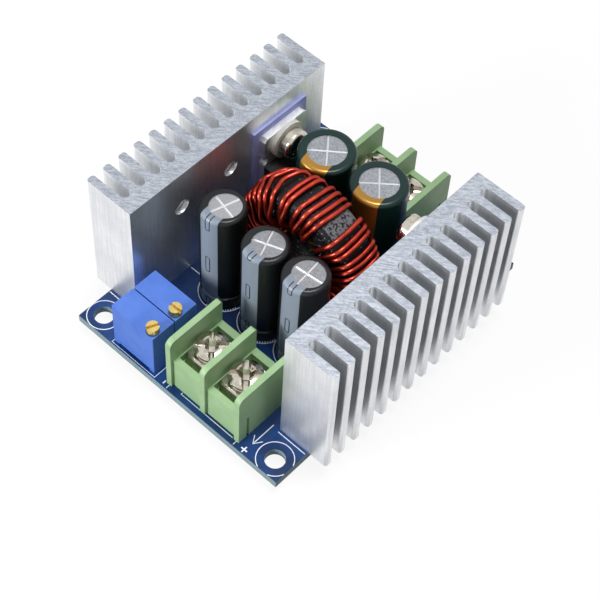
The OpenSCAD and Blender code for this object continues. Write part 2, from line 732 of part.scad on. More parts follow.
circuit_board();
left_side() heatsink();  // left_heatsink
heatsink();  // right_heatsink
left_side() thermal_pad();  // left_thermal_pad
left_side() device_leadframe();  // left_transistor_leadframe
left_side() device_body();  // left_transistor_body
left_side() insulating_washer();  // left_insulating_washer
left_side() spring_washer();  // left_spring_washer
left_side() heatsink_screw();  // left_heatsink_screw
thermal_pad();  // right_thermal_pad
device_leadframe();  // right_rectifier_leadframe
device_body();  // right_rectifier_body
insulating_washer();  // right_insulating_washer
spring_washer();  // right_spring_washer
heatsink_screw();  // right_heatsink_screw
output_can(0);  // output_can_1
output_can(1);  // output_can_2
output_can(2);  // output_can_3
output_sleeve(0);  // output_sleeve_1
output_sleeve(1);  // output_sleeve_2
output_sleeve(2);  // output_sleeve_3
output_cap_seals();
output_cap_leads();
input_can(0);  // input_can_1
input_can(1);  // input_can_2
input_sleeve(0);  // input_sleeve_1
input_sleeve(1);  // input_sleeve_2
input_cap_seals();
input_cap_leads();
choke_core();
choke_wire_a();
choke_wire_b();
trimmer_case(trimmer_y[0]);  // front_trimmer_case
trimmer_screw(trimmer_y[0], 66);  // front_trimmer_screw
trimmer_case(trimmer_y[1]);  // rear_trimmer_case
trimmer_screw(trimmer_y[1], 3);  // rear_trimmer_screw
trimmer_pins();
at_output() terminal_housing();  // output_terminal_housing
at_output() contact(pole_x[0]);  // output_contact_1
at_output() contact(pole_x[1]);  // output_contact_2
at_output() clamp_plate(pole_x[0]);  // output_clamp_plate_1
at_output() clamp_plate(pole_x[1]);  // output_clamp_plate_2
at_output() clamp_screw(pole_x[0], 42);  // output_clamp_screw_1
at_output() clamp_screw(pole_x[1], -48);  // output_clamp_screw_2
at_input() terminal_housing();  // input_terminal_housing
at_input() contact(pole_x[0]);  // input_contact_1
at_input() contact(pole_x[1]);  // input_contact_2
at_input() clamp_plate(pole_x[0]);  // input_clamp_plate_1
at_input() clamp_plate(pole_x[1]);  // input_clamp_plate_2
at_input() clamp_screw(pole_x[0], 37);  // input_clamp_screw_1
at_input() clamp_screw(pole_x[1], 71);  // input_clamp_screw_2
solder_joints();
chip_body(controller_at, controller_size);  // controller_chip
chip_legs(controller_at, controller_size, 8);  // controller_legs
chip_body(amplifier_at, amplifier_size);  // amplifier_chip
chip_legs(amplifier_at, amplifier_size, 4);  // amplifier_legs
current_shunts();
chip_resistors();
chip_capacitors();
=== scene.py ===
"""Looks of an open step-down converter module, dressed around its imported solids.

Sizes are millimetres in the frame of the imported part: +Z up from the tips of the soldered
pins, +Y along the heatsinks towards the input terminals. Angles are degrees.
"""
import logging
import math
from collections.abc import Iterable, Sequence
from dataclasses import dataclass
from enum import Enum
from functools import cache
from typing import Any

import bpy
import numpy as np
from mathutils import Matrix, Vector


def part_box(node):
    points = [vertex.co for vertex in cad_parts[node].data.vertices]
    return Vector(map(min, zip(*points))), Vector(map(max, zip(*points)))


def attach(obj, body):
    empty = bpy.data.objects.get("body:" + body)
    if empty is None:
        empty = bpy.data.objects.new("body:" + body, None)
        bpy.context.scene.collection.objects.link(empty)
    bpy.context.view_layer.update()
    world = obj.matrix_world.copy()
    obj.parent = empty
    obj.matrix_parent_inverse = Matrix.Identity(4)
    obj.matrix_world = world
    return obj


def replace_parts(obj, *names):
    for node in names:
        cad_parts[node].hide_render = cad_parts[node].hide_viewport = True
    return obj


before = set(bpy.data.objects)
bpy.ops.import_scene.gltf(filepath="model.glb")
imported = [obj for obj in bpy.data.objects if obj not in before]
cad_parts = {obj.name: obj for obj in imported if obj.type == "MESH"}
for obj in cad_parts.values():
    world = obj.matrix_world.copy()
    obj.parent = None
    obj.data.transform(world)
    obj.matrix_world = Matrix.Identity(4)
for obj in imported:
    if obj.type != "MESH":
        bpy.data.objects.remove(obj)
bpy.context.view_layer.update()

MM = 0.001
MODULE = "module"
LOG = logging.getLogger(MODULE)

Spot = tuple[float, float]
Pair = tuple[float, float]
Point = tuple[float, float, float]
Colour = tuple[float, float, float, float]
Inputs = dict[str | int, Any]


# Small helpers


def node_box(name: str) -> tuple[Point, Point]:
    """Measures a CAD node.

    Args:
        name: Name of the node.

    Returns:
        Its lowest and its highest corner, in millimetres.
    """
    low, high = (tuple(round(c / MM, 4) for c in corner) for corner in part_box(name))
    return low, high


def linear(hex_colour: str) -> Colour:
    """Turns an sRGB hex colour into linear light.

    Args:
        hex_colour: The colour as #RRGGBB.

    Returns:
        Red, green, blue and an alpha of one.
    """
    parts = [int(hex_colour[i:i + 2], 16) / 255 for i in (1, 3, 5)]
    light = [p / 12.92 if p <= 0.04045 else ((p + 0.055) / 1.055) ** 2.4 for p in parts]
    return light[0], light[1], light[2], 1.0


def per_mm(size: float) -> float:
    """Gives the texture scale at which one cell of a pattern is so many millimetres wide."""
    return 1 / (size * MM)


def add_node(tree: bpy.types.NodeTree, kind: str, inputs: Inputs | None = None,
             **settings: Any) -> bpy.types.Node:
    """Adds one node with its settings and what its inputs take.

    Args:
        tree: The tree that gets the node.
        kind: The node's class name.
        inputs: What each input takes, by its name or number: a value, a socket, or a node,
            which stands for the first of its outputs that is in use.
        settings: The node's own settings, by name.

    Returns:
        The new node.
    """
    node = tree.nodes.new(kind)
    for name, value in settings.items():
        setattr(node, name, value)
    for key, value in (inputs or {}).items():
        if isinstance(value, bpy.types.Node):
            value = next(output for output in value.outputs if output.enabled)
        if isinstance(value, bpy.types.NodeSocket):
            tree.links.new(value, node.inputs[key])
        else:
            node.inputs[key].default_value = value
    return node


def mesh_object(name: str, points: Iterable[Sequence[float]], edges: Iterable[Sequence[int]] = (),
                faces: Iterable[Sequence[int]] = ()) -> bpy.types.Object:
    """Makes a mesh object at the origin from points in millimetres.

    Args:
        name: Name of the object.
        points: Its points.
        edges: Pairs of point numbers.
        faces: Lists of point numbers.

    Returns:
        The object, linked to the scene.
    """
    mesh = bpy.data.meshes.new(name)
    mesh.from_pydata([[c * MM for c in p] for p in points], list(edges), list(faces))
    thing = bpy.data.objects.new(name, mesh)
    bpy.context.scene.collection.objects.link(thing)
    return thing


def give(thing: bpy.types.Object, material: bpy.types.Material) -> None:
    """Puts one material on the whole of an object."""
    thing.data.materials.clear()
    thing.data.materials.append(material)


def settle(thing: bpy.types.Object) -> bpy.types.Object:
    """Lets a finished piece ride on the module and reports it.

    Args:
        thing: The piece.

    Returns:
        The same piece.
    """
    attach(thing, MODULE)
    LOG.info("%s: %d faces", thing.name, len(thing.data.polygons))
    return thing


# Measures that several classes share, taken from the frame

BOARD_LOW, BOARD_HIGH = node_box("circuit_board")
BOARD_BOTTOM, BOARD_TOP = BOARD_LOW[2], BOARD_HIGH[2]
# The first input capacitor stands upright, so its box gives the foot, rim and lid of every can
CAN_FOOT, CAN_RIM = (corner[2] for corner in node_box("input_sleeve_1"))
CAN_LID = node_box("input_can_1")[1][2]
CAN_HEIGHT = CAN_RIM - CAN_FOOT
CORE_OD = 23.9
CORE_LOW, CORE_HIGH = node_box("choke_core")
CORE_AT = (CORE_HIGH[0] - CORE_OD / 2, (CORE_LOW[1] + CORE_HIGH[1]) / 2, (CORE_LOW[2] + CORE_HIGH[2]) / 2)

# Inputs of a Mix node, which carries the same names several times over
SHARE, NUMBER_A, NUMBER_B, COLOUR_A, COLOUR_B = 0, 2, 3, 6, 7
# Noise values between which nearly all of a pattern lies
NOISE_BAND = (0.3, 0.7)
# A wave texture at a scale of one goes through this angle in a metre
WAVE_RADIANS = 20.0


# Geometry node trees


@dataclass
class Recipe:
    """A Geometry Nodes tree with named inputs, run on an object and then baked into its mesh."""

    name: str
    sockets: dict[str, str]

    def __post_init__(self) -> None:
        """Makes the tree with its inputs, and keeps their identifiers by name."""
        self.tree = bpy.data.node_groups.new(self.name, "GeometryNodeTree")
        sides = self.tree.interface
        sides.new_socket(name="Geometry", in_out="INPUT", socket_type="NodeSocketGeometry")
        self.keys = {label: sides.new_socket(name=label, in_out="INPUT", socket_type=kind).identifier
                     for label, kind in self.sockets.items()}
        sides.new_socket(name="Geometry", in_out="OUTPUT", socket_type="NodeSocketGeometry")
        self.given = add_node(self.tree, "NodeGroupInput").outputs

    def close(self, shape: bpy.types.Node) -> None:
        """Ends the tree in Realize Instances and Set Material.

        Args:
            shape: The node whose result the tree gives.
        """
        solid = add_node(self.tree, "GeometryNodeRealizeInstances", {"Geometry": shape})
        dressed = add_node(self.tree, "GeometryNodeSetMaterial", {
            "Geometry": solid, "Material": self.given["Material"]})
        add_node(self.tree, "NodeGroupOutput", {"Geometry": dressed})

    def run(self, thing: bpy.types.Object, inputs: dict[str, Any]) -> bpy.types.Object:
        """Runs the tree on an object and leaves a plain mesh.

        Args:
            thing: The object, which holds the points or edges that the tree works on.
            inputs: Values of the tree's inputs, by name.

        Returns:
            The same object with the result as its mesh and no modifier.
        """
        step = thing.modifiers.new(self.name, "NODES")
        step.node_group = self.tree
        for label, value in inputs.items():
            step[self.keys[label]] = value
        bpy.context.view_layer.update()
        graph = bpy.context.evaluated_depsgraph_get()
        mesh = bpy.data.meshes.new_from_object(thing.evaluated_get(graph))
        thing.modifiers.clear()
        thing.data = mesh
        return thing


@dataclass
class Repeater:
    """The three recipes for what repeats or follows a line, and how finely a wire is drawn."""

    wire_step: float = 0.3
    wire_sides: int = 12
    bend_points: int = 12

    def __post_init__(self) -> None:
        """Builds the trees once."""
        self.copies = self.copies_recipe()
        self.strip = self.strip_recipe()
        self.wire = self.wire_recipe()

    @staticmethod
    def copies_recipe() -> Recipe:
        """Sets copies of one object on points, turned and sized by the points' attributes.

        Returns:
            The recipe.
        """
        recipe = Recipe("copies_on_points", {"Piece": "NodeSocketObject", "Material": "NodeSocketMaterial"})
        tree, given = recipe.tree, recipe.given
        piece = add_node(tree, "GeometryNodeObjectInfo", {"Object": given["Piece"]})
        turn = add_node(tree, "GeometryNodeInputNamedAttribute", {"Name": "turn"}, data_type="FLOAT")
        size = add_node(tree, "GeometryNodeInputNamedAttribute", {"Name": "size"}, data_type="FLOAT_VECTOR")
        angles = add_node(tree, "ShaderNodeCombineXYZ", {"Z": turn})
        recipe.close(add_node(tree, "GeometryNodeInstanceOnPoints", {
            "Points": given["Geometry"], "Instance": piece.outputs["Geometry"], "Rotation": angles,
            "Scale": size}))
        return recipe

    @staticmethod
    def strip_recipe() -> Recipe:
        """Runs a flat strip along edges, lying level.

        Returns:
            The recipe.
        """
        recipe = Recipe("flat_line", {
            "Width": "NodeSocketFloat", "Thickness": "NodeSocketFloat", "Material": "NodeSocketMaterial"})
        tree, given = recipe.tree, recipe.given
        path = add_node(tree, "GeometryNodeMeshToCurve", {"Mesh": given["Geometry"]})
        level = add_node(tree, "GeometryNodeSetCurveNormal", {"Curve": path}, mode="Z_UP")
        profile = add_node(tree, "GeometryNodeCurvePrimitiveQuadrilateral", {
            "Width": given["Width"], "Height": given["Thickness"]})
        skin = add_node(tree, "GeometryNodeCurveToMesh", {
            "Curve": level, "Profile Curve": profile, "Fill Caps": True})
        recipe.close(add_node(tree, "GeometryNodeSetShadeSmooth", {
            "Geometry": skin, "Shade Smooth": False}))
        return recipe

    @staticmethod
    def wire_recipe() -> Recipe:
        """Runs a round wire along edges, on a smooth curve through their points.

        Returns:
            The recipe.
        """
        recipe = Recipe("round_wire", {
            "Radius": "NodeSocketFloat", "Step": "NodeSocketFloat", "Sides": "NodeSocketInt",
            "Fineness": "NodeSocketInt", "Material": "NodeSocketMaterial"})
        tree, given = recipe.tree, recipe.given
        path = add_node(tree, "GeometryNodeMeshToCurve", {"Mesh": given["Geometry"]})
        bent = add_node(tree, "GeometryNodeCurveSplineType", {"Curve": path}, spline_type="BEZIER")
        eased = add_node(tree, "GeometryNodeCurveSetHandles", {"Curve": bent}, handle_type="AUTO")
        fine = add_node(tree, "GeometryNodeSetSplineResolution", {
            0: eased, "Resolution": given["Fineness"]})
        even = add_node(tree, "GeometryNodeResampleCurve", {
            "Curve": fine, "Length": given["Step"]}, mode="LENGTH")
        profile = add_node(tree, "GeometryNodeCurvePrimitiveCircle", {
            "Resolution": given["Sides"], "Radius": given["Radius"]})
        skin = add_node(tree, "GeometryNodeCurveToMesh", {
            "Curve": even, "Profile Curve": profile, "Fill Caps": True})
        recipe.close(add_node(tree, "GeometryNodeSetShadeSmooth", {"Geometry": skin, "Shade Smooth": True}))
        return recipe

    def set_out(self, name: str, piece: bpy.types.Object, places: Sequence[Sequence[float]],
                material: bpy.types.Material) -> bpy.types.Object:
        """Sets copies of a piece on places.

        Args:
            name: Name of the new object.
            piece: The piece, removed afterwards.
            places: x, y, z, turn in degrees and the three scale factors of each copy.
            material: Material of every copy.

        Returns:
            One plain mesh object.
        """
        thing = mesh_object(name, [place[:3] for place in places])
        turn = thing.data.attributes.new("turn", "FLOAT", "POINT")
        turn.data.foreach_set("value", [math.radians(place[3]) for place in places])
        size = thing.data.attributes.new("size", "FLOAT_VECTOR", "POINT")
        size.data.foreach_set("vector", [factor for place in places for factor in place[4:]])
        self.copies.run(thing, {"Piece": piece, "Material": material})
        bpy.data.objects.remove(piece)
        return thing

    def draw(self, name: str, lines: Iterable[Sequence[Point]], width: float, thickness: float,
             material: bpy.types.Material) -> bpy.types.Object:
        """Draws level strips along lines.

        Args:
            name: Name of the new object.
            lines: Points of each line; a line that ends where it starts is closed.
            width: Width of the strips.
            thickness: Thickness of the strips.
            material: Their material.

        Returns:
            One plain mesh object.
        """
        return self.strip.run(self.paths(name, lines), {
            "Width": width * MM, "Thickness": thickness * MM, "Material": material})

    def wind(self, name: str, route: Sequence[Point], thickness: float,
             material: bpy.types.Material) -> bpy.types.Object:
        """Runs a smooth round wire along a route.

        Args:
            name: Name of the new object.
            route: Points of the wire's middle line.
            thickness: Diameter of the wire.
            material: Its material.

        Returns:
            One plain mesh object.
        """
        return self.wire.run(self.paths(name, [route]), {
            "Radius": thickness / 2 * MM, "Step": self.wire_step * MM, "Sides": self.wire_sides,
            "Fineness": self.bend_points, "Material": material})

    @staticmethod
    def paths(name: str, lines: Iterable[Sequence[Point]]) -> bpy.types.Object:
        """Makes an object of bare edges.

        Args:
            name: Name of the object.
            lines: Points of each line; a line that ends where it starts is closed.

        Returns:
            The object.
        """
        points: list[Point] = []
        edges: list[tuple[int, int]] = []
        for line in lines:
            closed = len(line) > 2 and math.dist(line[0], line[-1]) < 1e-6
            own = list(line[:-1] if closed else line)
            first = len(points)
            points += own
            edges += [(first + i, first + i + 1) for i in range(len(own) - 1)]
            if closed:
                edges.append((len(points) - 1, first))
        return mesh_object(name, points, edges)


# Finishes


@dataclass(frozen=True)
class Finish:
    """What every finish has: a name, a colour, and a shader whose inputs its own patterns feed."""

    name: str
    colour: str
    roughness: float = 0.5

    @cache
    def material(self) -> bpy.types.Material:
        """Builds the finish's material on first use.

        Returns:
            The material.
        """
        material = bpy.data.materials.new(self.name)
        material.use_nodes = True
        tree = material.node_tree
        tree.nodes.clear()
        place = add_node(tree, "ShaderNodeTexCoord").outputs["Object"]
        shader = add_node(tree, "ShaderNodeBsdfPrincipled", {
            "Base Color": linear(self.colour), "Roughness": self.roughness, **self.surface(tree, place)})
        add_node(tree, "ShaderNodeOutputMaterial", {"Surface": shader})
        return material

    def surface(self, tree: bpy.types.NodeTree, place: bpy.types.NodeSocket) -> Inputs:
        """Gives what the shader's inputs take besides the even colour and roughness.

        Args:
            tree: The material's tree.
            place: Object coordinates.

        Returns:
            Values and nodes by the name of the input.
        """
        return {}

    def clouded(self, tree: bpy.types.NodeTree, place: bpy.types.NodeSocket, tint: str, size: float,
                band: Pair, most: float = 1.0, detail: float = 3.0, roughness: float = 0.5) -> bpy.types.Node:
        """Lets the finish's colour drift into a second one in soft clouds.

        Args:
            tree: The material's tree.
            place: Object coordinates.
            tint: The second colour.
            size: Real size of a cloud.
            band: Noise values at which the second colour begins and is full.
            most: Its greatest share.
            detail: Number of finer layers in the clouds.
            roughness: Strength of those layers.

        Returns:
            The node that gives the colour.
        """
        cloud = add_node(tree, "ShaderNodeTexNoise", {
            "Vector": place, "Scale": per_mm(size), "Detail": detail, "Roughness": roughness})
        share = add_node(tree, "ShaderNodeMapRange", {
            "Value": cloud, "From Min": band[0], "From Max": band[1], "To Max": most})
        return add_node(tree, "ShaderNodeMix", {
            SHARE: share, COLOUR_A: linear(self.colour), COLOUR_B: linear(tint)}, data_type="RGBA")

    @staticmethod
    def grained(tree: bpy.types.NodeTree, place: bpy.types.NodeSocket, size: float, gloss: Pair,
                strength: float, relief: float, detail: float = 2.0, roughness: float = 0.5) -> Inputs:
        """Lets gloss and level vary together with a fine grain.

        Args:
            tree: The material's tree.
            place: Object coordinates.
            size: Real size of a grain.
            gloss: Shader roughness in the grain's low and high places.
            strength: Strength of the relief.
            relief: Height of the relief.
            detail: Number of finer layers in the grain.
            roughness: Strength of those layers.

        Returns:
            The nodes for the shader's roughness and normal.
        """
        grain = add_node(tree, "ShaderNodeTexNoise", {
            "Vector": place, "Scale": per_mm(size), "Detail": detail, "Roughness": roughness})
        rough = add_node(tree, "ShaderNodeMapRange", {
            "Value": grain, "From Min": NOISE_BAND[0], "From Max": NOISE_BAND[1],
            "To Min": gloss[0], "To Max": gloss[1]})
        bump = add_node(tree, "ShaderNodeBump", {
            "Height": grain, "Strength": strength, "Distance": relief * MM})
        return {"Roughness": rough, "Normal": bump}


@dataclass(frozen=True)
class Moulded(Finish):
    """Moulded plastic, rubber or ink: a faint mottle, and an even spark-eroded grain.

    A tool's real grain is finer than a pixel, so it is drawn several times as coarse.
    """

    deep: str = "#000000"
    mottle: float = 3.0
    grain: float = 0.12
    relief: float = 0.03
    gloss: float = 0.5

    def surface(self, tree: bpy.types.NodeTree, place: bpy.types.NodeSocket) -> Inputs:
        """Adds mottle to the colour and grain to the surface.

        Args:
            tree: The material's tree.
            place: Object coordinates.

        Returns:
            What the shader's inputs take.
        """
        return {"Base Color": self.clouded(tree, place, self.deep, self.mottle, band=(0.35, 0.75)),
                "Specular IOR Level": self.gloss,
                **self.grained(tree, place, self.grain, (self.roughness - 0.06, self.roughness + 0.08),
                               strength=0.35, relief=self.relief)}


@dataclass(frozen=True)
class Plated(Finish):
    """A plated or bare small metal part: fine tumbling marks and faint tarnishing in clouds, which on nickel
    are a painted reflection of dark surroundings.

    Real tumbling marks are finer than a pixel, so they are drawn several times as coarse.
    """

    # Colour and greatest share of the clouds: tarnishing on tin, brass and solder, painted dark reflection on
    # nickel
    tarnish_and_painted_reflection: str = "#8A8474"
    wear: float = 0.5
    tarnish_size: float = 1.6
    marks: float = 0.25
    relief: float = 0.02

    def surface(self, tree: bpy.types.NodeTree, place: bpy.types.NodeSocket) -> Inputs:
        """Adds clouds to the colour, tarnishing on most metals and a painted dark reflection on nickel, and
        marks to the surface.

        Args:
            tree: The material's tree.
            place: Object coordinates.

        Returns:
            What the shader's inputs take.
        """
        # The clouds are tarnishing, except on nickel, where they are painted dark reflection
        return {"Base Color": self.clouded(
                    tree, place, self.tarnish_and_painted_reflection, self.tarnish_size, band=(0.45, 0.8), most=self.wear,
                    detail=4.0),
                "Metallic": 1.0,
                **self.grained(tree, place, self.marks, (self.roughness * 0.7, self.roughness * 1.4),
                               strength=0.3, relief=self.relief, detail=3.0)}


@dataclass(frozen=True)
class Stand:
    """Where a capacitor's foot is, how far its top leans, and where its sleeve's stripe faces."""

    at: Spot
    lean: Spot = (0.0, 0.0)
    facing: float = 279.0
    mark_rise: float = 0.0


@dataclass(frozen=True)
class ScoredCan(Finish):
    """Drawn can aluminium with a crystalline grain, bright and rough in the score lines of its lid, where a
    pale, nearly non-metallic colour is a painted highlight of their walls catching the light.

    The crystals are drawn about three times as coarse as real ones, which would not show.
    """

    stand: Stand = Stand((0.0, 0.0))
    dark: str = "#8E9095"
    # Painted highlight in the score lines: its pale colour and its low metallic
    score_line_painted_highlight: str = "#DADCDF"
    score_line_highlight_metal: float = 0.2
    groove_band: Pair = (0.09, 0.03)
    grain: float = 0.3
    relief: float = 0.03

    def surface(self, tree: bpy.types.NodeTree, place: bpy.types.NodeSocket) -> Inputs:
        """Adds the grain, and the painted highlight on the metal below the level of the leaning lid.

        Args:
            tree: The material's tree.
            place: Object coordinates.

        Returns:
            What the shader's inputs take.
        """
        lean = Vector(self.stand.lean)
        level = Vector((*lean / CAN_HEIGHT, 1.0))
        height = add_node(tree, "ShaderNodeVectorMath", {0: place, 1: level}, operation="DOT_PRODUCT")
        lid = CAN_LID + level.to_2d().dot(Vector(self.stand.at) + lean)
        score_line_highlight_share = add_node(tree, "ShaderNodeMapRange", {
            "Value": height, "From Min": (lid - self.groove_band[0]) * MM,
            "From Max": (lid - self.groove_band[1]) * MM, "To Min": 1.0, "To Max": 0.0})
        skin = self.clouded(tree, place, self.dark, self.grain, band=(0.42, 0.6), detail=5.0, roughness=0.7)
        # Pale, less metallic colour in the score lines: a painted highlight
        return {"Base Color": add_node(tree, "ShaderNodeMix", {
                    SHARE: score_line_highlight_share, COLOUR_A: skin, COLOUR_B: linear(self.score_line_painted_highlight)}, data_type="RGBA"),
                "Metallic": add_node(tree, "ShaderNodeMapRange", {
                    "Value": score_line_highlight_share, "To Min": 1.0, "To Max": self.score_line_highlight_metal}),
                **self.grained(tree, place, self.grain, (self.roughness - 0.1, self.roughness + 0.1),
                               strength=0.4, relief=self.relief, detail=5.0, roughness=0.7)}


@dataclass(frozen=True)
class DrawnAluminium(Finish):
    """Extruded aluminium: a fine matt grain and faint die lines, coarser and torn where it was sawn.

    Real die lines and saw marks are finer than a pixel, so both are drawn two to three times as wide.
    """

    stain: str = "#C4C8CF"
    sawn_deep: str = "#828892"
    sawn_pale: str = "#ABB0B8"
    stain_size: float = 8.0
    die_line: float = 0.35
    die_stretch: float = 20.0
    grain: float = 0.3
    grain_share: float = 0.55
    saw_turn: float = 35.0
    saw_mark: Pair = (1.68, 0.24)
    pit: float = 0.45
    pit_share: float = 0.4
    sawn_rougher: float = 0.08
    cut_low: float = BOARD_TOP
    cut_high: float = node_box("left_heatsink")[1][2]
    cut_depth: float = 0.03
    relief: float = 0.02

    def at_cut(self, tree: bpy.types.NodeTree, place: bpy.types.NodeSocket) -> bpy.types.Node:
        """Tells the two sawn ends from the drawn sides.

        Args:
            tree: The material's tree.
            place: Object coordinates.

        Returns:
            The node that gives one on the ends, else zero.
        """
        height = add_node(tree, "ShaderNodeSeparateXYZ", {"Vector": place}).outputs["Z"]
        upper = add_node(tree, "ShaderNodeMath", {
            0: height, 1: (self.cut_high - self.cut_depth) * MM}, operation="GREATER_THAN")
        lower = add_node(tree, "ShaderNodeMath", {
            0: height, 1: (self.cut_low + self.cut_depth) * MM}, operation="LESS_THAN")
        return add_node(tree, "ShaderNodeMath", {0: upper, 1: lower}, operation="MAXIMUM")

    def drawn_lines(self, tree: bpy.types.NodeTree, place: bpy.types.NodeSocket) -> bpy.types.Node:
        """Lays the die lines along Z with the metal's grain over them.

        Args:
            tree: The material's tree.
            place: Object coordinates.

        Returns:
            The node that gives their height.
        """
        drawn = add_node(tree, "ShaderNodeMapping", {
            "Vector": place, "Scale": (1.0, 1.0, 1 / self.die_stretch)})
        lines = add_node(tree, "ShaderNodeTexNoise", {
            "Vector": drawn, "Scale": per_mm(self.die_line), "Detail": 2.0})
        grain = add_node(tree, "ShaderNodeTexNoise", {
            "Vector": place, "Scale": per_mm(self.grain), "Detail": 4.0, "Roughness": 0.7})
        return add_node(tree, "ShaderNodeMix", {
            SHARE: self.grain_share, NUMBER_A: lines, NUMBER_B: grain}, data_type="FLOAT")

    def torn_metal(self, tree: bpy.types.NodeTree, place: bpy.types.NodeSocket) -> bpy.types.Node:
        """Lays short scratches along the saw's stroke, and pits.

        Args:
            tree: The material's tree.
            place: Object coordinates.

        Returns:
            The node that gives their height.
        """
        length, width = self.saw_mark
        stroke = add_node(tree, "ShaderNodeMapping", {
            "Vector": place, "Scale": (length / width, 1.0, 1.0),
            "Rotation": (0.0, 0.0, math.radians(self.saw_turn))}, vector_type="TEXTURE")
        tears = add_node(tree, "ShaderNodeTexNoise", {
            "Vector": stroke, "Scale": per_mm(width), "Detail": 4.0, "Roughness": 0.7})
        pits = add_node(tree, "ShaderNodeTexNoise", {
            "Vector": place, "Scale": per_mm(self.pit), "Detail": 6.0, "Roughness": 0.75})
        return add_node(tree, "ShaderNodeMix", {
            SHARE: self.pit_share, NUMBER_A: tears, NUMBER_B: pits}, data_type="FLOAT")

    def surface(self, tree: bpy.types.NodeTree, place: bpy.types.NodeSocket) -> Inputs:
        """Puts the drawn pattern on the sides and the torn one on the cut ends.

        Args:
            tree: The material's tree.
            place: Object coordinates.

        Returns:
            What the shader's inputs take.
        """
        cut = self.at_cut(tree, place)
        lines = self.drawn_lines(tree, place)
        tears = self.torn_metal(tree, place)
        base = self.clouded(tree, place, self.stain, self.stain_size, band=(0.42, 0.72), most=0.5,
                            detail=6.0, roughness=0.65)
        streak = add_node(tree, "ShaderNodeMapRange", {
            "Value": lines, "From Min": 0.4, "From Max": 0.6, "To Max": 0.5})
        drawn_face = add_node(tree, "ShaderNodeMix", {
            SHARE: streak, COLOUR_A: base, COLOUR_B: linear(self.stain)}, data_type="RGBA")
        torn = add_node(tree, "ShaderNodeMapRange", {"Value": tears, "From Min": 0.42, "From Max": 0.58})
        sawn_face = add_node(tree, "ShaderNodeMix", {
            SHARE: torn, COLOUR_A: linear(self.sawn_deep),
            COLOUR_B: linear(self.sawn_pale)}, data_type="RGBA")
        colour = add_node(tree, "ShaderNodeMix", {
            SHARE: cut, COLOUR_A: drawn_face, COLOUR_B: sawn_face}, data_type="RGBA")
        gloss = add_node(tree, "ShaderNodeMapRange", {
            "Value": lines, "From Min": NOISE_BAND[0], "From Max": NOISE_BAND[1],
            "To Min": self.roughness - 0.05, "To Max": self.roughness + 0.05})
        rough = add_node(tree, "ShaderNodeMath", {
            0: cut, 1: self.sawn_rougher, 2: gloss}, operation="MULTIPLY_ADD")
        height = add_node(tree, "ShaderNodeMix", {
            SHARE: cut, NUMBER_A: lines, NUMBER_B: tears}, data_type="FLOAT")
        bump = add_node(tree, "ShaderNodeBump", {
            "Height": height, "Strength": 0.4, "Distance": self.relief * MM})
        return {"Base Color": colour, "Roughness": rough, "Normal": bump, "Metallic": 0.9}


@dataclass(frozen=True)
class SolderMask(Finish):
    """Glossy solder mask over copper and glass fibre, its cut edge pale and fibrous.

    The glass cloth is drawn about three times as coarse as the real one, which would not show.
    """

    over_copper: str = "#123F7C"
    fibre_pale: str = "#93A6A8"
    fibre_deep: str = "#5E7886"
    copper_size: float = 7.0
    sawn_roughness: float = 0.7
    fibre: float = 0.3
    fibre_stretch: float = 5.0
    weave: float = 1.776
    core_half: float = 0.76
    relief: float = 0.02

    def surface(self, tree: bpy.types.NodeTree, place: bpy.types.NodeSocket) -> Inputs:
        """Adds the weave under the mask, the copper's cloudiness, and the sawn edge.

        Args:
            tree: The material's tree.
            place: Object coordinates.

        Returns:
            What the shader's inputs take.
        """
        faces = self.clouded(tree, place, self.over_copper, self.copper_size, band=(0.42, 0.6))
        height = add_node(tree, "ShaderNodeSeparateXYZ", {"Vector": place}).outputs["Z"]
        away = add_node(tree, "ShaderNodeMath", {
            0: height, 1: (BOARD_BOTTOM + BOARD_TOP) / 2 * MM}, operation="SUBTRACT")
        depth = add_node(tree, "ShaderNodeMath", {0: away}, operation="ABSOLUTE")
        sawn = add_node(tree, "ShaderNodeMath", {0: depth, 1: self.core_half * MM}, operation="LESS_THAN")
        drawn_out = add_node(tree, "ShaderNodeMapping", {
            "Vector": place, "Scale": (1.0, 1.0, 1 / self.fibre_stretch)})
        fibres = add_node(tree, "ShaderNodeTexNoise", {
            "Vector": drawn_out, "Scale": per_mm(self.fibre), "Detail": 3.0})
        edge = add_node(tree, "ShaderNodeMix", {
            SHARE: fibres, COLOUR_A: linear(self.fibre_pale),
            COLOUR_B: linear(self.fibre_deep)}, data_type="RGBA")
        colour = add_node(tree, "ShaderNodeMix", {
            SHARE: sawn, COLOUR_A: faces, COLOUR_B: edge}, data_type="RGBA")
        rough = add_node(tree, "ShaderNodeMapRange", {
            "Value": sawn, "To Min": self.roughness, "To Max": self.sawn_roughness})
        weave = add_node(tree, "ShaderNodeTexWave", {
            "Vector": place, "Scale": per_mm(self.weave) * math.tau / WAVE_RADIANS, "Distortion": 0.6})
        bump = add_node(tree, "ShaderNodeBump", {
            "Height": weave.outputs["Fac"], "Strength": 0.12, "Distance": self.relief * MM})
        return {"Base Color": colour, "Roughness": rough, "Normal": bump, "Specular IOR Level": 0.3}


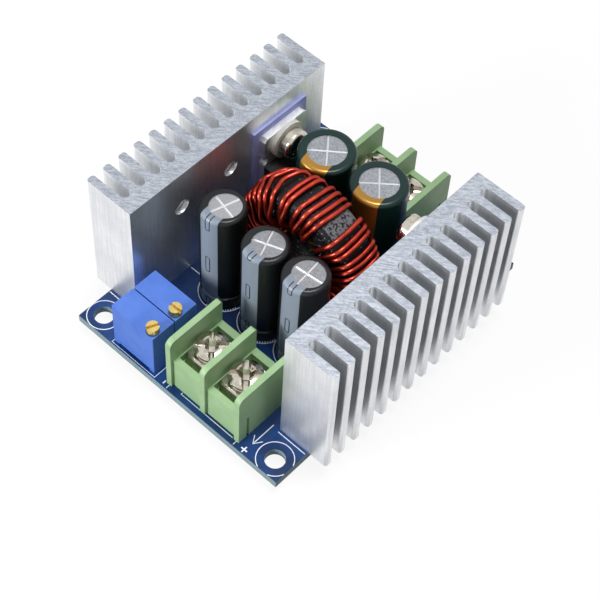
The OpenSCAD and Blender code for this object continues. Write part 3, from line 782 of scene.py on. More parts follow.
@dataclass(frozen=True)
class Sleeve(Finish):
    """Shrunk film with one lengthwise stripe, whose outlined boxes mark the negative lead."""

    stand: Stand = Stand((0.0, 0.0))
    stripe: str = "#838E9C"
    mark: str = "#20242C"
    radius: float = 4.0
    half_width: float = 1.75
    stripe_metal: float = 0.0
    mark_half: Pair = (0.42, 1.75)
    mark_corner: float = 0.336
    mark_line: float = 0.07
    mark_edge: float = 0.05
    mark_pitch: float = 10.2
    soft_edge: float = 0.08
    front_share: float = 0.3
    ripple: float = 4.0
    relief: float = 0.1

    def upright(self, tree: bpy.types.NodeTree, place: bpy.types.NodeSocket) -> bpy.types.Node:
        """Stands the leaning sleeve up at the origin, with its stripe towards +X.

        Args:
            tree: The material's tree.
            place: Object coordinates.

        Returns:
            The node that gives the place on the upright sleeve.
        """
        height = add_node(tree, "ShaderNodeSeparateXYZ", {"Vector": place}).outputs["Z"]
        raised = add_node(tree, "ShaderNodeMath", {0: height, 1: CAN_FOOT * MM}, operation="SUBTRACT")
        tilt = Vector((*self.stand.lean, 0.0)) / -CAN_HEIGHT
        offset = add_node(tree, "ShaderNodeVectorMath", {0: tilt, "Scale": raised}, operation="SCALE")
        straight = add_node(tree, "ShaderNodeVectorMath", {0: place, 1: offset}, operation="ADD")
        turn = -math.radians(self.stand.facing)
        foot = Matrix.Rotation(turn, 3, "Z") @ Vector((*self.stand.at, 0.0))
        return add_node(tree, "ShaderNodeMapping", {
            "Vector": straight, "Location": -foot * MM, "Rotation": (0.0, 0.0, turn)})

    def outline(self, tree: bpy.types.NodeTree, aside: bpy.types.Node,
                height: bpy.types.NodeSocket) -> bpy.types.Node:
        """Draws the outline of one tall rounded box after another up the middle of the stripe.

        Args:
            tree: The material's tree.
            aside: Distance from the stripe's middle.
            height: Height in the part's frame.

        Returns:
            The node that gives one on the line of a box, else zero.
        """
        start = BOARD_TOP + self.stand.mark_rise
        level = add_node(tree, "ShaderNodeMath", {0: height, 1: start * MM}, operation="SUBTRACT")
        cycle = add_node(tree, "ShaderNodeMath", {
            0: level, 1: self.mark_pitch / 2 * MM}, operation="PINGPONG")
        place = add_node(tree, "ShaderNodeCombineXYZ", {"X": aside, "Y": cycle})
        corner_at = [(half - self.mark_corner) * MM for half in self.mark_half]
        past = add_node(tree, "ShaderNodeVectorMath", {
            0: place, 1: (*corner_at, 0.0)}, operation="SUBTRACT")
        clear = add_node(tree, "ShaderNodeVectorMath", {0: past, 1: (0.0, 0.0, 0.0)}, operation="MAXIMUM")
        reach = add_node(tree, "ShaderNodeVectorMath", {0: clear}, operation="LENGTH")
        beyond = add_node(tree, "ShaderNodeMath", {
            0: reach, 1: self.mark_corner * MM}, operation="SUBTRACT")
        gap = add_node(tree, "ShaderNodeMath", {0: beyond}, operation="ABSOLUTE")
        return add_node(tree, "ShaderNodeMapRange", {
            "Value": gap, "From Min": self.mark_line * MM, "From Max": (self.mark_line + self.mark_edge) * MM,
            "To Min": 1.0, "To Max": 0.0})

    def surface(self, tree: bpy.types.NodeTree, place: bpy.types.NodeSocket) -> Inputs:
        """Paints the stripe on the side that faces the stand's direction, and the marks in it.

        Args:
            tree: The material's tree.
            place: Object coordinates.

        Returns:
            What the shader's inputs take.
        """
        own = add_node(tree, "ShaderNodeSeparateXYZ", {"Vector": self.upright(tree, place)}).outputs
        aside = add_node(tree, "ShaderNodeMath", {0: own["Y"]}, operation="ABSOLUTE")
        narrow = add_node(tree, "ShaderNodeMapRange", {
            "Value": aside, "From Min": self.half_width * MM,
            "From Max": (self.half_width + self.soft_edge) * MM, "To Min": 1.0, "To Max": 0.0})
        front = add_node(tree, "ShaderNodeMath", {
            0: own["X"], 1: self.radius * self.front_share * MM}, operation="GREATER_THAN")
        stripe = add_node(tree, "ShaderNodeMath", {0: narrow, 1: front}, operation="MULTIPLY")
        film = add_node(tree, "ShaderNodeMix", {
            SHARE: stripe, COLOUR_A: linear(self.colour), COLOUR_B: linear(self.stripe)}, data_type="RGBA")
        marks = add_node(tree, "ShaderNodeMath", {
            0: self.outline(tree, aside, own["Z"]), 1: stripe}, operation="MULTIPLY")
        colour = add_node(tree, "ShaderNodeMix", {
            SHARE: marks, COLOUR_A: film, COLOUR_B: linear(self.mark)}, data_type="RGBA")
        ripple = add_node(tree, "ShaderNodeTexNoise", {
            "Vector": place, "Scale": per_mm(self.ripple), "Detail": 2.0})
        bump = add_node(tree, "ShaderNodeBump", {
            "Height": ripple, "Strength": 0.15, "Distance": self.relief * MM})
        inputs = {"Base Color": colour, "Normal": bump, "Specular IOR Level": 0.25, "Coat Weight": 0.08,
                  "Coat Roughness": 0.12}
        if self.stripe_metal:
            inputs["Metallic"] = add_node(tree, "ShaderNodeMapRange", {
                "Value": stripe, "To Max": self.stripe_metal})
        return inputs


@dataclass(frozen=True)
class Enamel(Finish):
    """Clear red enamel over copper: bright along the crown, deep red where it turns away."""

    shade: str = "#6E140A"
    cloud: float = 2.2

    def surface(self, tree: bpy.types.NodeTree, place: bpy.types.NodeSocket) -> Inputs:
        """Adds a little unevenness and the glossy coat.

        Args:
            tree: The material's tree.
            place: Object coordinates.

        Returns:
            What the shader's inputs take.
        """
        return {"Base Color": self.clouded(tree, place, self.shade, self.cloud, band=(0.4, 0.75), most=0.7),
                "Metallic": 0.9, "Specular Tint": linear(self.shade), "Coat Weight": 0.3,
                "Coat Roughness": 0.1}


@dataclass(frozen=True)
class CoreCoating(Finish):
    """Black coating with pale grit on a pressed powder core, rubbed bare in one patch of its rim."""

    grit: str = "#6C7076"
    rubbed: str = "#707276"
    grit_gap: float = 0.55
    grit_band: Pair = (0.16, 0.3)
    lump: float = 0.5
    lump_band: Pair = (0.46, 0.54)
    wear: float = 0.4
    wear_band: Pair = (0.42, 0.52)
    relief: float = 0.06
    patch_angle: float = 60.5
    patch_at_y: float = CORE_AT[1] + 0.4
    patch_half: Pair = (1.35, 3.0)
    patch_fade: Pair = (0.15, 0.2)
    patch_edge: float = 0.1
    rim_band: Pair = (10.5, 11.0)

    def patch(self, tree: bpy.types.NodeTree, place: bpy.types.NodeSocket) -> bpy.types.Node:
        """Marks out the rubbed patch at its angle on the rim.

        Args:
            tree: The material's tree.
            place: Object coordinates.

        Returns:
            The node that gives one in the patch, else zero.
        """
        turn = math.radians(self.patch_angle)
        outwards = Vector((math.cos(turn), 0.0, math.sin(turn)))
        along = Vector((math.sin(turn), 0.0, -math.cos(turn)))
        middle = Vector((CORE_AT[0], self.patch_at_y, CORE_AT[2]))
        reach = add_node(tree, "ShaderNodeVectorMath", {0: place, 1: outwards}, operation="DOT_PRODUCT")
        near, far = ((middle.dot(outwards) + radius) * MM for radius in self.rim_band)
        area = add_node(tree, "ShaderNodeMapRange", {"Value": reach, "From Min": near, "From Max": far})
        for axis, half, fade in zip((along, Vector((0.0, 1.0, 0.0))), self.patch_half, self.patch_fade):
            across = add_node(tree, "ShaderNodeVectorMath", {0: place, 1: axis}, operation="DOT_PRODUCT")
            offset = add_node(tree, "ShaderNodeMath", {
                0: across, 1: middle.dot(axis) * MM}, operation="SUBTRACT")
            away = add_node(tree, "ShaderNodeMath", {0: offset}, operation="ABSOLUTE")
            inside = add_node(tree, "ShaderNodeMapRange", {
                "Value": away, "From Min": (half - self.patch_edge) * MM, "From Max": (half + fade) * MM,
                "To Min": 1.0, "To Max": 0.0})
            area = add_node(tree, "ShaderNodeMath", {0: area, 1: inside}, operation="MULTIPLY")
        return area

    def surface(self, tree: bpy.types.NodeTree, place: bpy.types.NodeSocket) -> Inputs:
        """Adds the grit and the patch.

        Args:
            tree: The material's tree.
            place: Object coordinates.

        Returns:
            What the shader's inputs take.
        """
        speck = add_node(tree, "ShaderNodeTexVoronoi", {"Vector": place, "Scale": per_mm(self.grit_gap)})
        lumps = add_node(tree, "ShaderNodeTexNoise", {
            "Vector": place, "Scale": per_mm(self.lump), "Detail": 4.0})
        dots = add_node(tree, "ShaderNodeMapRange", {
            "Value": speck, "From Min": self.grit_band[0], "From Max": self.grit_band[1],
            "To Min": 1.0, "To Max": 0.0})
        some = add_node(tree, "ShaderNodeMapRange", {
            "Value": lumps, "From Min": self.lump_band[0], "From Max": self.lump_band[1]})
        grit = add_node(tree, "ShaderNodeMath", {0: dots, 1: some}, operation="MULTIPLY")
        coat = add_node(tree, "ShaderNodeMix", {
            SHARE: grit, COLOUR_A: linear(self.colour), COLOUR_B: linear(self.grit)}, data_type="RGBA")
        worn = add_node(tree, "ShaderNodeTexNoise", {
            "Vector": place, "Scale": per_mm(self.wear), "Detail": 5.0})
        bare = add_node(tree, "ShaderNodeMapRange", {
            "Value": worn, "From Min": self.wear_band[0], "From Max": self.wear_band[1]})
        shown = add_node(tree, "ShaderNodeMath", {
            0: self.patch(tree, place), 1: bare}, operation="MULTIPLY")
        colour = add_node(tree, "ShaderNodeMix", {
            SHARE: shown, COLOUR_A: coat, COLOUR_B: linear(self.rubbed)}, data_type="RGBA")
        bump = add_node(tree, "ShaderNodeBump", {
            "Height": lumps, "Strength": 0.6, "Distance": self.relief * MM})
        return {"Base Color": colour, "Normal": bump, "Specular IOR Level": 0.2}


# Extruded and left bare, its ends sawn: satin silver with upright lines, and torn, greyer ends
BARE_ALUMINIUM = DrawnAluminium("extruded_aluminium", "#F0F1F2", 0.38)
# Tin plated on copper: pale and satin, hardly tarnished
TIN = Plated("tin_plate", "#EEEEEC", 0.38, tarnish_and_painted_reflection="#B4B6BA", relief=0.006)
# Nickel plated on steel in a barrel: mirror bright, with warmer, darker patches that are painted dark
# reflection
NICKEL = Plated("nickel_plate", "#CBC5BA", 0.16, tarnish_and_painted_reflection="#80776A", wear=0.8, relief=0.006)
# Brass, turned and left bare: warm yellow, brown where it has tarnished
BRASS = Plated("bare_brass", "#DCC278", 0.24, tarnish_and_painted_reflection="#A98439", wear=0.7)
# Tin solder, flowed and set: bright grey with soft flow marks
SOLDER = Plated("solder", "#BDC1C6", 0.22, tarnish_and_painted_reflection="#8D9095", marks=0.6)
# Epoxy mask, cured over copper and woven glass: deep glossy blue, lighter where copper lies under it
MASK = SolderMask("blue_solder_mask", "#0C2C5A", 0.3)
# Epoxy ink, printed through a screen: matt white with a faint unevenness
INK = Moulded("screen_printed_ink", "#E6EEF6", 0.55, deep="#D6DEE8", grain=0.25, relief=0.006)
# Silicone rubber with ceramic filler, rolled: matt, pale violet blue
PAD_RUBBER = Moulded("silicone_pad", "#A4ACDE", 0.7, deep="#929AD2", grain=0.3)
# Epoxy moulding compound: charcoal black, matt from the tool's grain
EPOXY = Moulded("moulding_compound", "#1E1E20", 0.55, deep="#141416", grain=0.15, gloss=0.3)
# Nylon, moulded: off-white with a soft sheen
NYLON = Moulded("nylon", "#DCDCD6", 0.5, deep="#C8C8C0")
# Butyl rubber, moulded: dull dark grey
SEAL = Moulded("seal_rubber", "#3A3A3C", 0.75, deep="#2A2A2C")
# Polyester, moulded: even mid blue, satin
CASE_BLUE = Moulded("trimmer_case", "#4F76CC", 0.55, deep="#446BC0", grain=0.25, gloss=0.35)
# Flame-retardant nylon, moulded: soft grey green, satin
GREEN = Moulded("terminal_green", "#98B88B", 0.5, deep="#8CAE7E", grain=0.15)
# Clear red enamel baked on drawn copper: glowing red crowns, and nearly black red in the gaps
RED_WIRE = Enamel("red_wire_enamel", "#B43C2B", 0.28)
# Epoxy powder baked on pressed iron powder: black and gritty, grey where it was rubbed
CORE = CoreCoating("speckled_core_coating", "#0B0B0D", 0.5)
# Fired ceramic: matt tan
CERAMIC = Moulded("chip_ceramic", "#A58B6B", 0.5, deep="#8F775A")
# Metal strip under a fired glaze: smooth mid grey
SHUNT = Moulded("shunt_glaze", "#8E9096", 0.35, deep="#7E8086")
# Glass glaze over a printed film: glossy black
RESISTOR = Moulded("resistor_glaze", "#202024", 0.3, deep="#161618")


@dataclass(frozen=True)
class Rounding:
    """How a CAD node's sharp edges are rounded: the width, and which edges count as sharp."""

    width: float
    steps: int = 2
    sharp_from: float = 40.0
    weld_reach: float = 0.0005

    def apply(self, node: bpy.types.Object) -> None:
        """Adds the modifiers that weld a node's seams and round its edges.

        Args:
            node: The CAD node's object.
        """
        weld = node.modifiers.new("weld", "WELD")
        weld.merge_threshold = self.weld_reach * MM
        bevel = node.modifiers.new("soften", "BEVEL")
        bevel.width = self.width * MM
        bevel.segments = self.steps
        bevel.limit_method = "ANGLE"
        bevel.angle_limit = math.radians(self.sharp_from)
        bevel.harden_normals = True


def dress_node(name: str, finish: Finish, edges: Rounding | None = None) -> None:
    """Puts a finish on a CAD node and, where asked, rounds its sharp edges.

    Args:
        name: Name of the CAD node.
        finish: Its finish.
        edges: The rounding of its edges, which stay sharp without it.
    """
    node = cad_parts[name]
    give(node, finish.material())
    if edges:
        edges.apply(node)
    LOG.info("%s: %s", name, finish.name)


# The module's sub-assemblies


@dataclass(frozen=True)
class ChipPart:
    """One size of small chip part under the board, and the x, y and turn of each."""

    length: float
    width: float
    height: float
    places: tuple[Point, ...]


@dataclass
class Board:
    """The circuit board with its print and the parts under it."""

    hole_inset: float = 3.0
    hole_ring_r: float = 2.93
    wide_ring_r: float = 3.12
    output_rings: tuple[Spot, ...] = ((-9.0, -9.3), (0.2, -9.3), (8.6, -9.3))
    output_ring_r: float = 4.4
    input_rings: tuple[Spot, ...] = ((-5.9, 11.7), (4.7, 12.35))
    input_ring_r: float = 5.4
    ring_step: int = 2
    tooth_inset: Pair = (0.4, 0.08)
    tooth_angles: range = range(270, 346, 6)
    outlines: tuple[tuple[Spot, ...], ...] = (
        # Trimmers
        ((-14.95, -24.0), (-14.95, -29.72), (-4.9, -29.72), (-4.9, -19.0)),
        # Output terminal block and its front lip
        ((-2.07, -29.8), (-2.07, -16.9), (13.1, -16.9), (13.1, -29.75)),
        ((0.55, -28.6), (0.5, -28.93), (12.2, -28.93)),
        # Input terminal block
        ((-8.5, 29.8), (7.1, 29.8), (7.1, 17.3), (-8.5, 17.3), (-8.5, 29.8)),
        # Shaft and head of the arrow at the output
        ((15.3, -22.6), (15.3, -27.3)), ((14.4, -26.1), (15.3, -27.5), (16.2, -26.1)),
        # Dash at the left heatsink
        ((-16.4, -9.8), (-13.8, -9.8)))
    heatsink_line: tuple[Spot, Spot] = ((16.7, 23.05), (22.6, 23.05))
    minus_signs: tuple[tuple[Spot, Spot], ...] = (
        ((-3.1, -29.55), (-3.1, -28.85)), ((5.9, 28.6), (5.9, 29.5)))
    plus_signs: tuple[Spot, ...] = ((15.03, -29.2), (-7.35, 29.0))
    plus_half: float = 0.62
    fine_line: float = 0.15
    bold_line: float = 0.24
    ink_height: float = 0.03
    ink_inset: float = 0.05
    resistors: ChipPart = ChipPart(2.0, 1.25, 0.5, (
        (-12, -14, 0), (-12, -11.8, 0), (-5, -5, 90), (-2.8, -5, 90), (5.4, -5, 90), (-10, 8.6, 0),
        (10, -5, 0), (10, 5.6, 0)))
    capacitors: ChipPart = ChipPart(2.0, 1.25, 0.85, (
        (8.6, 0.6, 90), (-6.6, -0.4, 90), (3, 4.6, 0), (-2.4, 4.6, 0), (12.4, -12, 90)))
    shunts: ChipPart = ChipPart(6.3, 3.2, 0.6, ((-4, -16.4, 0), (4.6, -16.4, 0)))
    cap_share: float = 0.2
    plating: float = 0.02

    def stroke(self, *points: Spot) -> list[Point]:
        """Lifts flat points onto the board's top, to the middle of the ink."""
        return [(x, y, BOARD_TOP + self.ink_height / 2) for x, y in points]

    def ring(self, x: float, y: float, radius: float) -> list[list[Point]]:
        """Draws a circle on the board's top, in runs that stop where the board ends.

        Args:
            x: The centre's place along X.
            y: The centre's place along Y.
            radius: The circle's radius.

        Returns:
            Points of each run.
        """
        runs: list[list[Spot]] = [[]]
        for angle in range(0, 361, self.ring_step):
            turn = math.radians(angle)
            spot = (x + radius * math.cos(turn), y + radius * math.sin(turn))
            if all(abs(c) < edge - self.ink_inset for c, edge in zip(spot, BOARD_HIGH)):
                runs[-1].append(spot)
            elif runs[-1]:
                runs.append([])
        return [self.stroke(*run) for run in runs if len(run) > 1]

    def tooth(self, x: float, y: float, radius: float, angle: float) -> list[Point]:
        """Draws one tooth of the comb on the negative side of a capacitor's circle.

        Args:
            x: The centre's place along X.
            y: The centre's place along Y.
            radius: The circle's radius.
            angle: Where on the circle the tooth is, in degrees.

        Returns:
            Both ends of the tooth.
        """
        turn = math.radians(angle)
        reaches = [radius - inset for inset in self.tooth_inset]
        return self.stroke(*((x + r * math.cos(turn), y + r * math.sin(turn)) for r in reaches))

    def plus(self, x: float, y: float) -> list[list[Point]]:
        """Draws a plus sign in strokes that don't lie on each other.

        Args:
            x: Its middle along X.
            y: Its middle along Y.

        Returns:
            Points of each stroke.
        """
        half, gap = self.plus_half, self.bold_line / 2
        return [self.stroke((x - half, y), (x + half, y)), self.stroke((x, y - half), (x, y - gap)),
                self.stroke((x, y + gap), (x, y + half))]

    def print_lines(self, repeater: Repeater) -> None:
        """Draws the white outlines, the polarity marks and the arrow at the output.

        Args:
            repeater: The recipes to draw with.
        """
        x, y = (edge - self.hole_inset for edge in BOARD_HIGH[:2])
        holes = [(-x, -y, self.hole_ring_r), (-x, y, self.hole_ring_r), (x, y, self.hole_ring_r),
                 (x, -y, self.wide_ring_r)]
        cans = ([(*at, self.output_ring_r) for at in self.output_rings]
                + [(*at, self.input_ring_r) for at in self.input_rings])
        fine = [run for circle in holes + cans for run in self.ring(*circle)]
        fine += [self.tooth(*can, angle) for can in cans for angle in self.tooth_angles]
        fine += [self.stroke(*outline) for outline in self.outlines]
        fine += [self.stroke(*((sx * end[0], sy * end[1]) for end in self.heatsink_line))
                 for sx in (-1, 1) for sy in (-1, 1)]
        bold = [self.stroke(*sign) for sign in self.minus_signs]
        bold += [stroke for at in self.plus_signs for stroke in self.plus(*at)]
        prints = (("fine_print", fine, self.fine_line), ("bold_print", bold, self.bold_line))
        for name, lines, width in prints:
            settle(repeater.draw(name, lines, width, self.ink_height, INK.material()))

    def end_caps(self, repeater: Repeater) -> None:
        """Plates both ends of every small chip part under the board.

        Args:
            repeater: The recipes to set the caps out with.
        """
        half = (-0.5, 0.5)
        block = mesh_object("cap_block", [(x, y, z) for x in half for y in half for z in half], faces=[
            (0, 1, 3, 2), (4, 6, 7, 5), (0, 4, 5, 1), (2, 3, 7, 6), (0, 2, 6, 4), (1, 5, 7, 3)])
        caps = []
        for part in (self.resistors, self.capacitors, self.shunts):
            cap = (self.cap_share * part.length, part.width + 2 * self.plating, part.height + self.plating)
            reach = part.length / 2 + self.plating - cap[0] / 2
            for x, y, angle in part.places:
                turn = math.radians(angle)
                caps += [(x + way * math.cos(turn), y + way * math.sin(turn), BOARD_BOTTOM - cap[2] / 2,
                          angle, *cap) for way in (reach, -reach)]
        settle(repeater.set_out("chip_end_caps", block, caps, TIN.material()))

    def build(self, repeater: Repeater) -> None:
        """Dresses the board and everything under it.

        Args:
            repeater: The recipes for the print and the end caps.
        """
        self.end_caps(repeater)
        dress_node("circuit_board", MASK)
        self.print_lines(repeater)
        dress_node("solder_joints", SOLDER)
        for chip in ("controller", "amplifier"):
            dress_node(f"{chip}_chip", EPOXY)
            dress_node(f"{chip}_legs", TIN)
        dress_node("current_shunts", SHUNT)
        dress_node("chip_resistors", RESISTOR)
        dress_node("chip_capacitors", CERAMIC)


class Side(Enum):
    """The two heatsinks and the device that each one cools."""

    LEFT = "transistor"
    RIGHT = "rectifier"


class End(Enum):
    """The two ends of the circuit."""

    OUTPUT = "output"
    INPUT = "input"


@dataclass
class CooledDevice:
    """A heatsink with its pad, device, washers and screw."""

    side: Side
    edges: Rounding = Rounding(0.12)
    empty_holes: tuple[float, ...] = (-11.3, 0.0)
    hole_rise: float = 18.0
    thread_r: float = 1.36
    thread_pitch: float = 0.5
    thread_turns: int = 4
    turn_corners: int = 12
    mouth_gap: float = 0.25
    ridge: float = 0.26

    def thread(self, y: float) -> list[Point]:
        """Leads the ridge of the thread into one empty hole, from the mouth to near its end.

        Args:
            y: The hole's place along Y.

        Returns:
            Points of the ridge.
        """
        corners = node_box(f"{self.side.name.lower()}_heatsink")
        mouth = min((corner[0] for corner in corners), key=abs)
        way = math.copysign(1, mouth)
        points = []
        for i in range(self.thread_turns * self.turn_corners + 1):
            turn = math.tau * i / self.turn_corners
            points.append((mouth + way * (self.mouth_gap + self.thread_pitch * i / self.turn_corners),
                           y + self.thread_r * math.cos(turn),
                           BOARD_TOP + self.hole_rise + self.thread_r * math.sin(turn)))
        return points

    def build(self, repeater: Repeater) -> None:
        """Dresses one side's CAD nodes and cuts the threads of its empty holes.

        Args:
            repeater: The recipes for the thread's ridge.
        """
        side, device = self.side.name.lower(), self.side.value
        dress_node(f"{side}_heatsink", BARE_ALUMINIUM, self.edges)
        dress_node(f"{side}_thermal_pad", PAD_RUBBER)
        dress_node(f"{side}_{device}_leadframe", TIN)
        dress_node(f"{side}_{device}_body", EPOXY)
        dress_node(f"{side}_insulating_washer", NYLON)
        dress_node(f"{side}_spring_washer", NICKEL)
        dress_node(f"{side}_heatsink_screw", NICKEL)
        for i, y in enumerate(self.empty_holes, 1):
            ridge = repeater.wind(f"{side}_thread_{i}", self.thread(y), self.ridge, BARE_ALUMINIUM.material())
            settle(ridge)


@dataclass
class Capacitors:
    """The five can capacitors."""

    output_stands: tuple[Stand, ...] = (
        Stand((-9.0, -9.4), (-1.0, 0.95), 274.0, 0.7), Stand((0.2, -9.3), (-0.1, 0.15), 270.0, 2.6),
        Stand((8.6, -9.3), (0.0, 0.35), 272.0, 1.6))
    input_stands: tuple[Stand, ...] = (Stand((-5.9, 11.7)), Stand((4.7, 12.35), (0.0, 0.3)))

    def build(self) -> None:
        """Dresses the cans, sleeves, seals and leads."""
        for i, stand in enumerate(self.output_stands, 1):
            # Aluminium, drawn into a can with score lines in its lid: grainy grey, with a painted highlight
            # in those lines
            dress_node(f"output_can_{i}", ScoredCan(
                f"output_can_aluminium_{i}", "#8E9094", 0.42, stand, dark="#76787C"))
            # Polyester film, shrunk on: nearly black with a pale grey stripe, softly glossy
            dress_node(f"output_sleeve_{i}", Sleeve(f"black_sleeve_{i}", "#17191B", 0.3, stand))
        for i, stand in enumerate(self.input_stands, 1):
            # The same aluminium, a shade lighter
            dress_node(f"input_can_{i}", ScoredCan(
                f"input_can_aluminium_{i}", "#94979D", 0.45, stand, dark="#75787E"))
            # Polyester film, shrunk on: dark green, with a stripe in gold ink
            dress_node(f"input_sleeve_{i}", Sleeve(
                f"green_sleeve_{i}", "#0A2926", 0.3, stand, stripe="#A67C38", mark="#A67C38", radius=5.0,
                half_width=2.4, stripe_metal=0.7))
        for end in End:
            dress_node(f"{end.value}_cap_seals", SEAL)
            dress_node(f"{end.value}_cap_leads", TIN)


@dataclass(frozen=True)
class Turning:
    """Degrees by which a wire is turned on, read off the photograph at some angles of the rim."""

    at: tuple[float, ...]
    by: tuple[float, ...]

    def __call__(self, angle: float) -> float:
        """Gives the degrees at any angle of the rim."""
        return float(np.interp(angle, self.at, self.by))


@dataclass
class Choke:
    """The standing ring core and its two red wires, wound side by side.

    A wire's run is kept as its distance from the core's axis, its place along the axis and its
    angle in degrees, until it is turned into points.
    """

    core_id: float = 14.2
    wire_d: float = 0.85
    wire_pitch: float = 6.7
    slack: float = 0.12
    bend_r: float = 1.6
    bend_step: int = 15
    # How far the second wire lies over the first on the faces
    lift: float = 0.65
    lead_at: Spot = (11.9, 1.7)
    lead_tip: float = 0.3
    lead_straight: Pair = (1.0, 3.6)
    lead_lean: float = 0.6
    lead_gap: float = 0.1
    # Where the wires cross the rim in the photograph, and how many more crossings it doesn't show
    seen: tuple[float, ...] = (
        142, 133.5, 125, 115.5, 102.5, 97.3, 86.8, 80.3, 74, 68.5, 54.5, 48, 43, 34, 28)
    unseen: tuple[int, int] = (10, 11)
    unseen_gap: float = 2.0
    # How a wire is turned on at the rim's front edge, bows sideways on the rim, and turns on
    # between the bore and the front edge
    front_shift: Turning = Turning(
        (28, 43, 52, 62, 68, 88, 103, 115, 142, 174), (-0.5, -2.5, -2.5, 1, 2, 2.5, 2, 0, -3, 0))
    bow: Turning = Turning(
        (-20, 28, 52, 66, 90, 107, 125, 140, 175, 205), (0, -2.5, -2, 0.3, 0.8, 2.5, 8, 11, 5, 0))
    drift: Turning = Turning((-10, 28, 55, 142, 175), (4, -5, 0, 17, 4))
    rear_shift: float = -0.5
    # Shares of the way to the next bend that a bend has turned at its rim end and its face end
    bend_turns: Pair = (0.27, 0.15)
    spread_in_bore: float = 0.9
    rear_share: float = 0.4
    face_inset: float = 1.6
    # The loose turns bulge from the rim, most at one angle and less away from it
    bulge: Pair = (0.55, 0.05)
    bulge_at: float = 135.0
    bulge_width: float = 60.0
    # The stiffness of the wire: spacing of close points, and the width of the windows that even
    # out distance, place and angle
    close: float = 0.4
    windows: tuple[int, int, int] = (5, 5, 13)

    def __post_init__(self) -> None:
        """Works out the runs of the wire and the angles at which it crosses the rim."""
        off = self.wire_d / 2 + self.slack
        self.outer = CORE_OD / 2 + off
        self.face = (CORE_HIGH[1] - CORE_LOW[1]) / 2 + off
        self.bore = self.core_id / 2 - off
        self.step = self.wire_d + self.slack
        before, after = self.unseen
        self.rim = ([self.seen[0] + self.unseen_gap + i * self.wire_pitch for i in range(before, 0, -1)]
                    + list(self.seen) + [self.seen[-1] - i * self.wire_pitch for i in range(1, after + 1)])
        self.turns = len(self.rim) // 2 - 1

    def point(self, radius: float, y: float, angle: float) -> Point:
        """Turns a place of a run into a point.

        Args:
            radius: Distance from the core's axis.
            y: Place along the axis, from the core's middle.
            angle: Angle in degrees.

        Returns:
            The point in the part's frame.
        """
        turn = math.radians(angle)
        return CORE_AT[0] + radius * math.cos(turn), CORE_AT[1] + y, CORE_AT[2] + radius * math.sin(turn)

    def rim_bend(self, side: int, angle: float, rim: float, bore: float) -> list[Point]:
        """Bends a wire between a face of the core and its rim.

        Args:
            side: 1 for the rear face, taken from the rim, or -1 for the front face, taken to it.
            angle: Angle of the bend's middle.
            rim: Angle towards which it turns on the rim.
            bore: Angle towards which it turns on the face.

        Returns:
            The bend's run.
        """
        r = self.bend_r
        on_rim, on_face = self.bend_turns
        turned = (angle + on_rim * (rim - angle), angle, angle + on_face * (bore - angle))
        bend = [(self.outer - r + r * math.cos(math.radians(t)),
                 side * (self.face - r + r * math.sin(math.radians(t))),
                 float(np.interp(t, (0, 45, 90), turned))) for t in range(0, 91, self.bend_step)]
        return bend if side > 0 else bend[::-1]

    def bore_bend(self, side: int, step: float, lift: float, angle: float) -> list[Point]:
        """Bends a wire between a face of the core and its bore.

        Args:
            side: 1 for the rear face, taken to the bore, or -1 for the front face, taken from it.
            step: How much wider the bend is than the first wire's.
            lift: How far it lies over the first wire on the face.
            angle: Its angle.

        Returns:
            The bend's run.
        """
        r = self.bend_r + step
        turns = [math.radians(t) for t in range(0, 91, self.bend_step)]
        return [(self.bore + self.bend_r - r * math.cos(t),
                 side * (self.face + lift - r + r * math.sin(t)), angle)
                for t in (turns[::-1] if side > 0 else turns)]

    def even_out(self, run: Sequence[Point]) -> list[Point]:
        """Lets a run change direction only gently, as a stiff wire does.

        Args:
            run: The run.

        Returns:
            Close points of the smoother run, in the part's frame.
        """
        corners = np.array([self.point(*place) for place in run])
        gone = np.concatenate(([0.0], np.cumsum(np.linalg.norm(np.diff(corners, axis=0), axis=1))))
        grid = np.arange(0.0, gone[-1], self.close)
        eased = []
        for values, width in zip(np.array(run).T, self.windows):
            window = np.hanning(width) / np.hanning(width).sum()
            dense = np.pad(np.interp(grid, gone, values), width // 2, mode="edge")
            eased.append(np.convolve(dense, window, "valid"))
        return [self.point(*place) for place in zip(*eased)]

    def pair(self, turn: int) -> float:
        """Gives the angle midway between the two wires of a turn."""
        return (self.rim[2 * turn] + self.rim[2 * turn + 1]) / 2

    def inner_half(self, wire: int, turn: int) -> list[Point]:
        """Leads a wire from the rim's rear edge through the bore to the front edge at the next turn.

        Args:
            wire: 0 for the first wire or 1 for the second.
            turn: Number of the turn.

        Returns:
            The run.
        """
        here, after = self.rim[2 * turn + wire], self.rim[2 * turn + 2 + wire]
        edge = after + self.front_shift(after)
        aside = (0.5 - wire) * self.wire_pitch * self.spread_in_bore
        rear = self.pair(turn) + self.rear_share * (self.pair(turn + 1) - self.pair(turn)) + aside
        front = edge + self.drift(after)
        lift, step = wire * self.lift, wire * self.step
        inner = self.core_id / 2 + self.face_inset
        return (self.rim_bend(1, here + self.rear_shift, here + self.bow(here), rear)
                + [(inner, self.face + lift, (here + 3 * rear) / 4)]
                + self.bore_bend(1, step, lift, rear) + self.bore_bend(-1, step, lift, front)
                + [(inner, -self.face - lift, (edge + 3 * front) / 4)]
                + self.rim_bend(-1, edge, after + self.bow(after), front))

    def lead(self, way: int, side: int, angle: float) -> list[Point]:
        """Leads one end of a wire from the board up to the rim.

        Args:
            way: -1 for the lead on the left, 1 for the one on the right.
            side: 1 for the first wire, -1 for the second.
            angle: Angle at which the wire meets the rim.

        Returns:
            Points from the board up.
        """
        x, y = CORE_AT[0] + way * self.lead_at[0], side * self.lead_at[1]
        heights = (self.lead_tip, *(BOARD_TOP + rise for rise in self.lead_straight))
        return [*((x, CORE_AT[1] + y, z) for z in heights),
                self.point(self.outer + self.lead_gap, y - way * self.lead_lean, angle)]

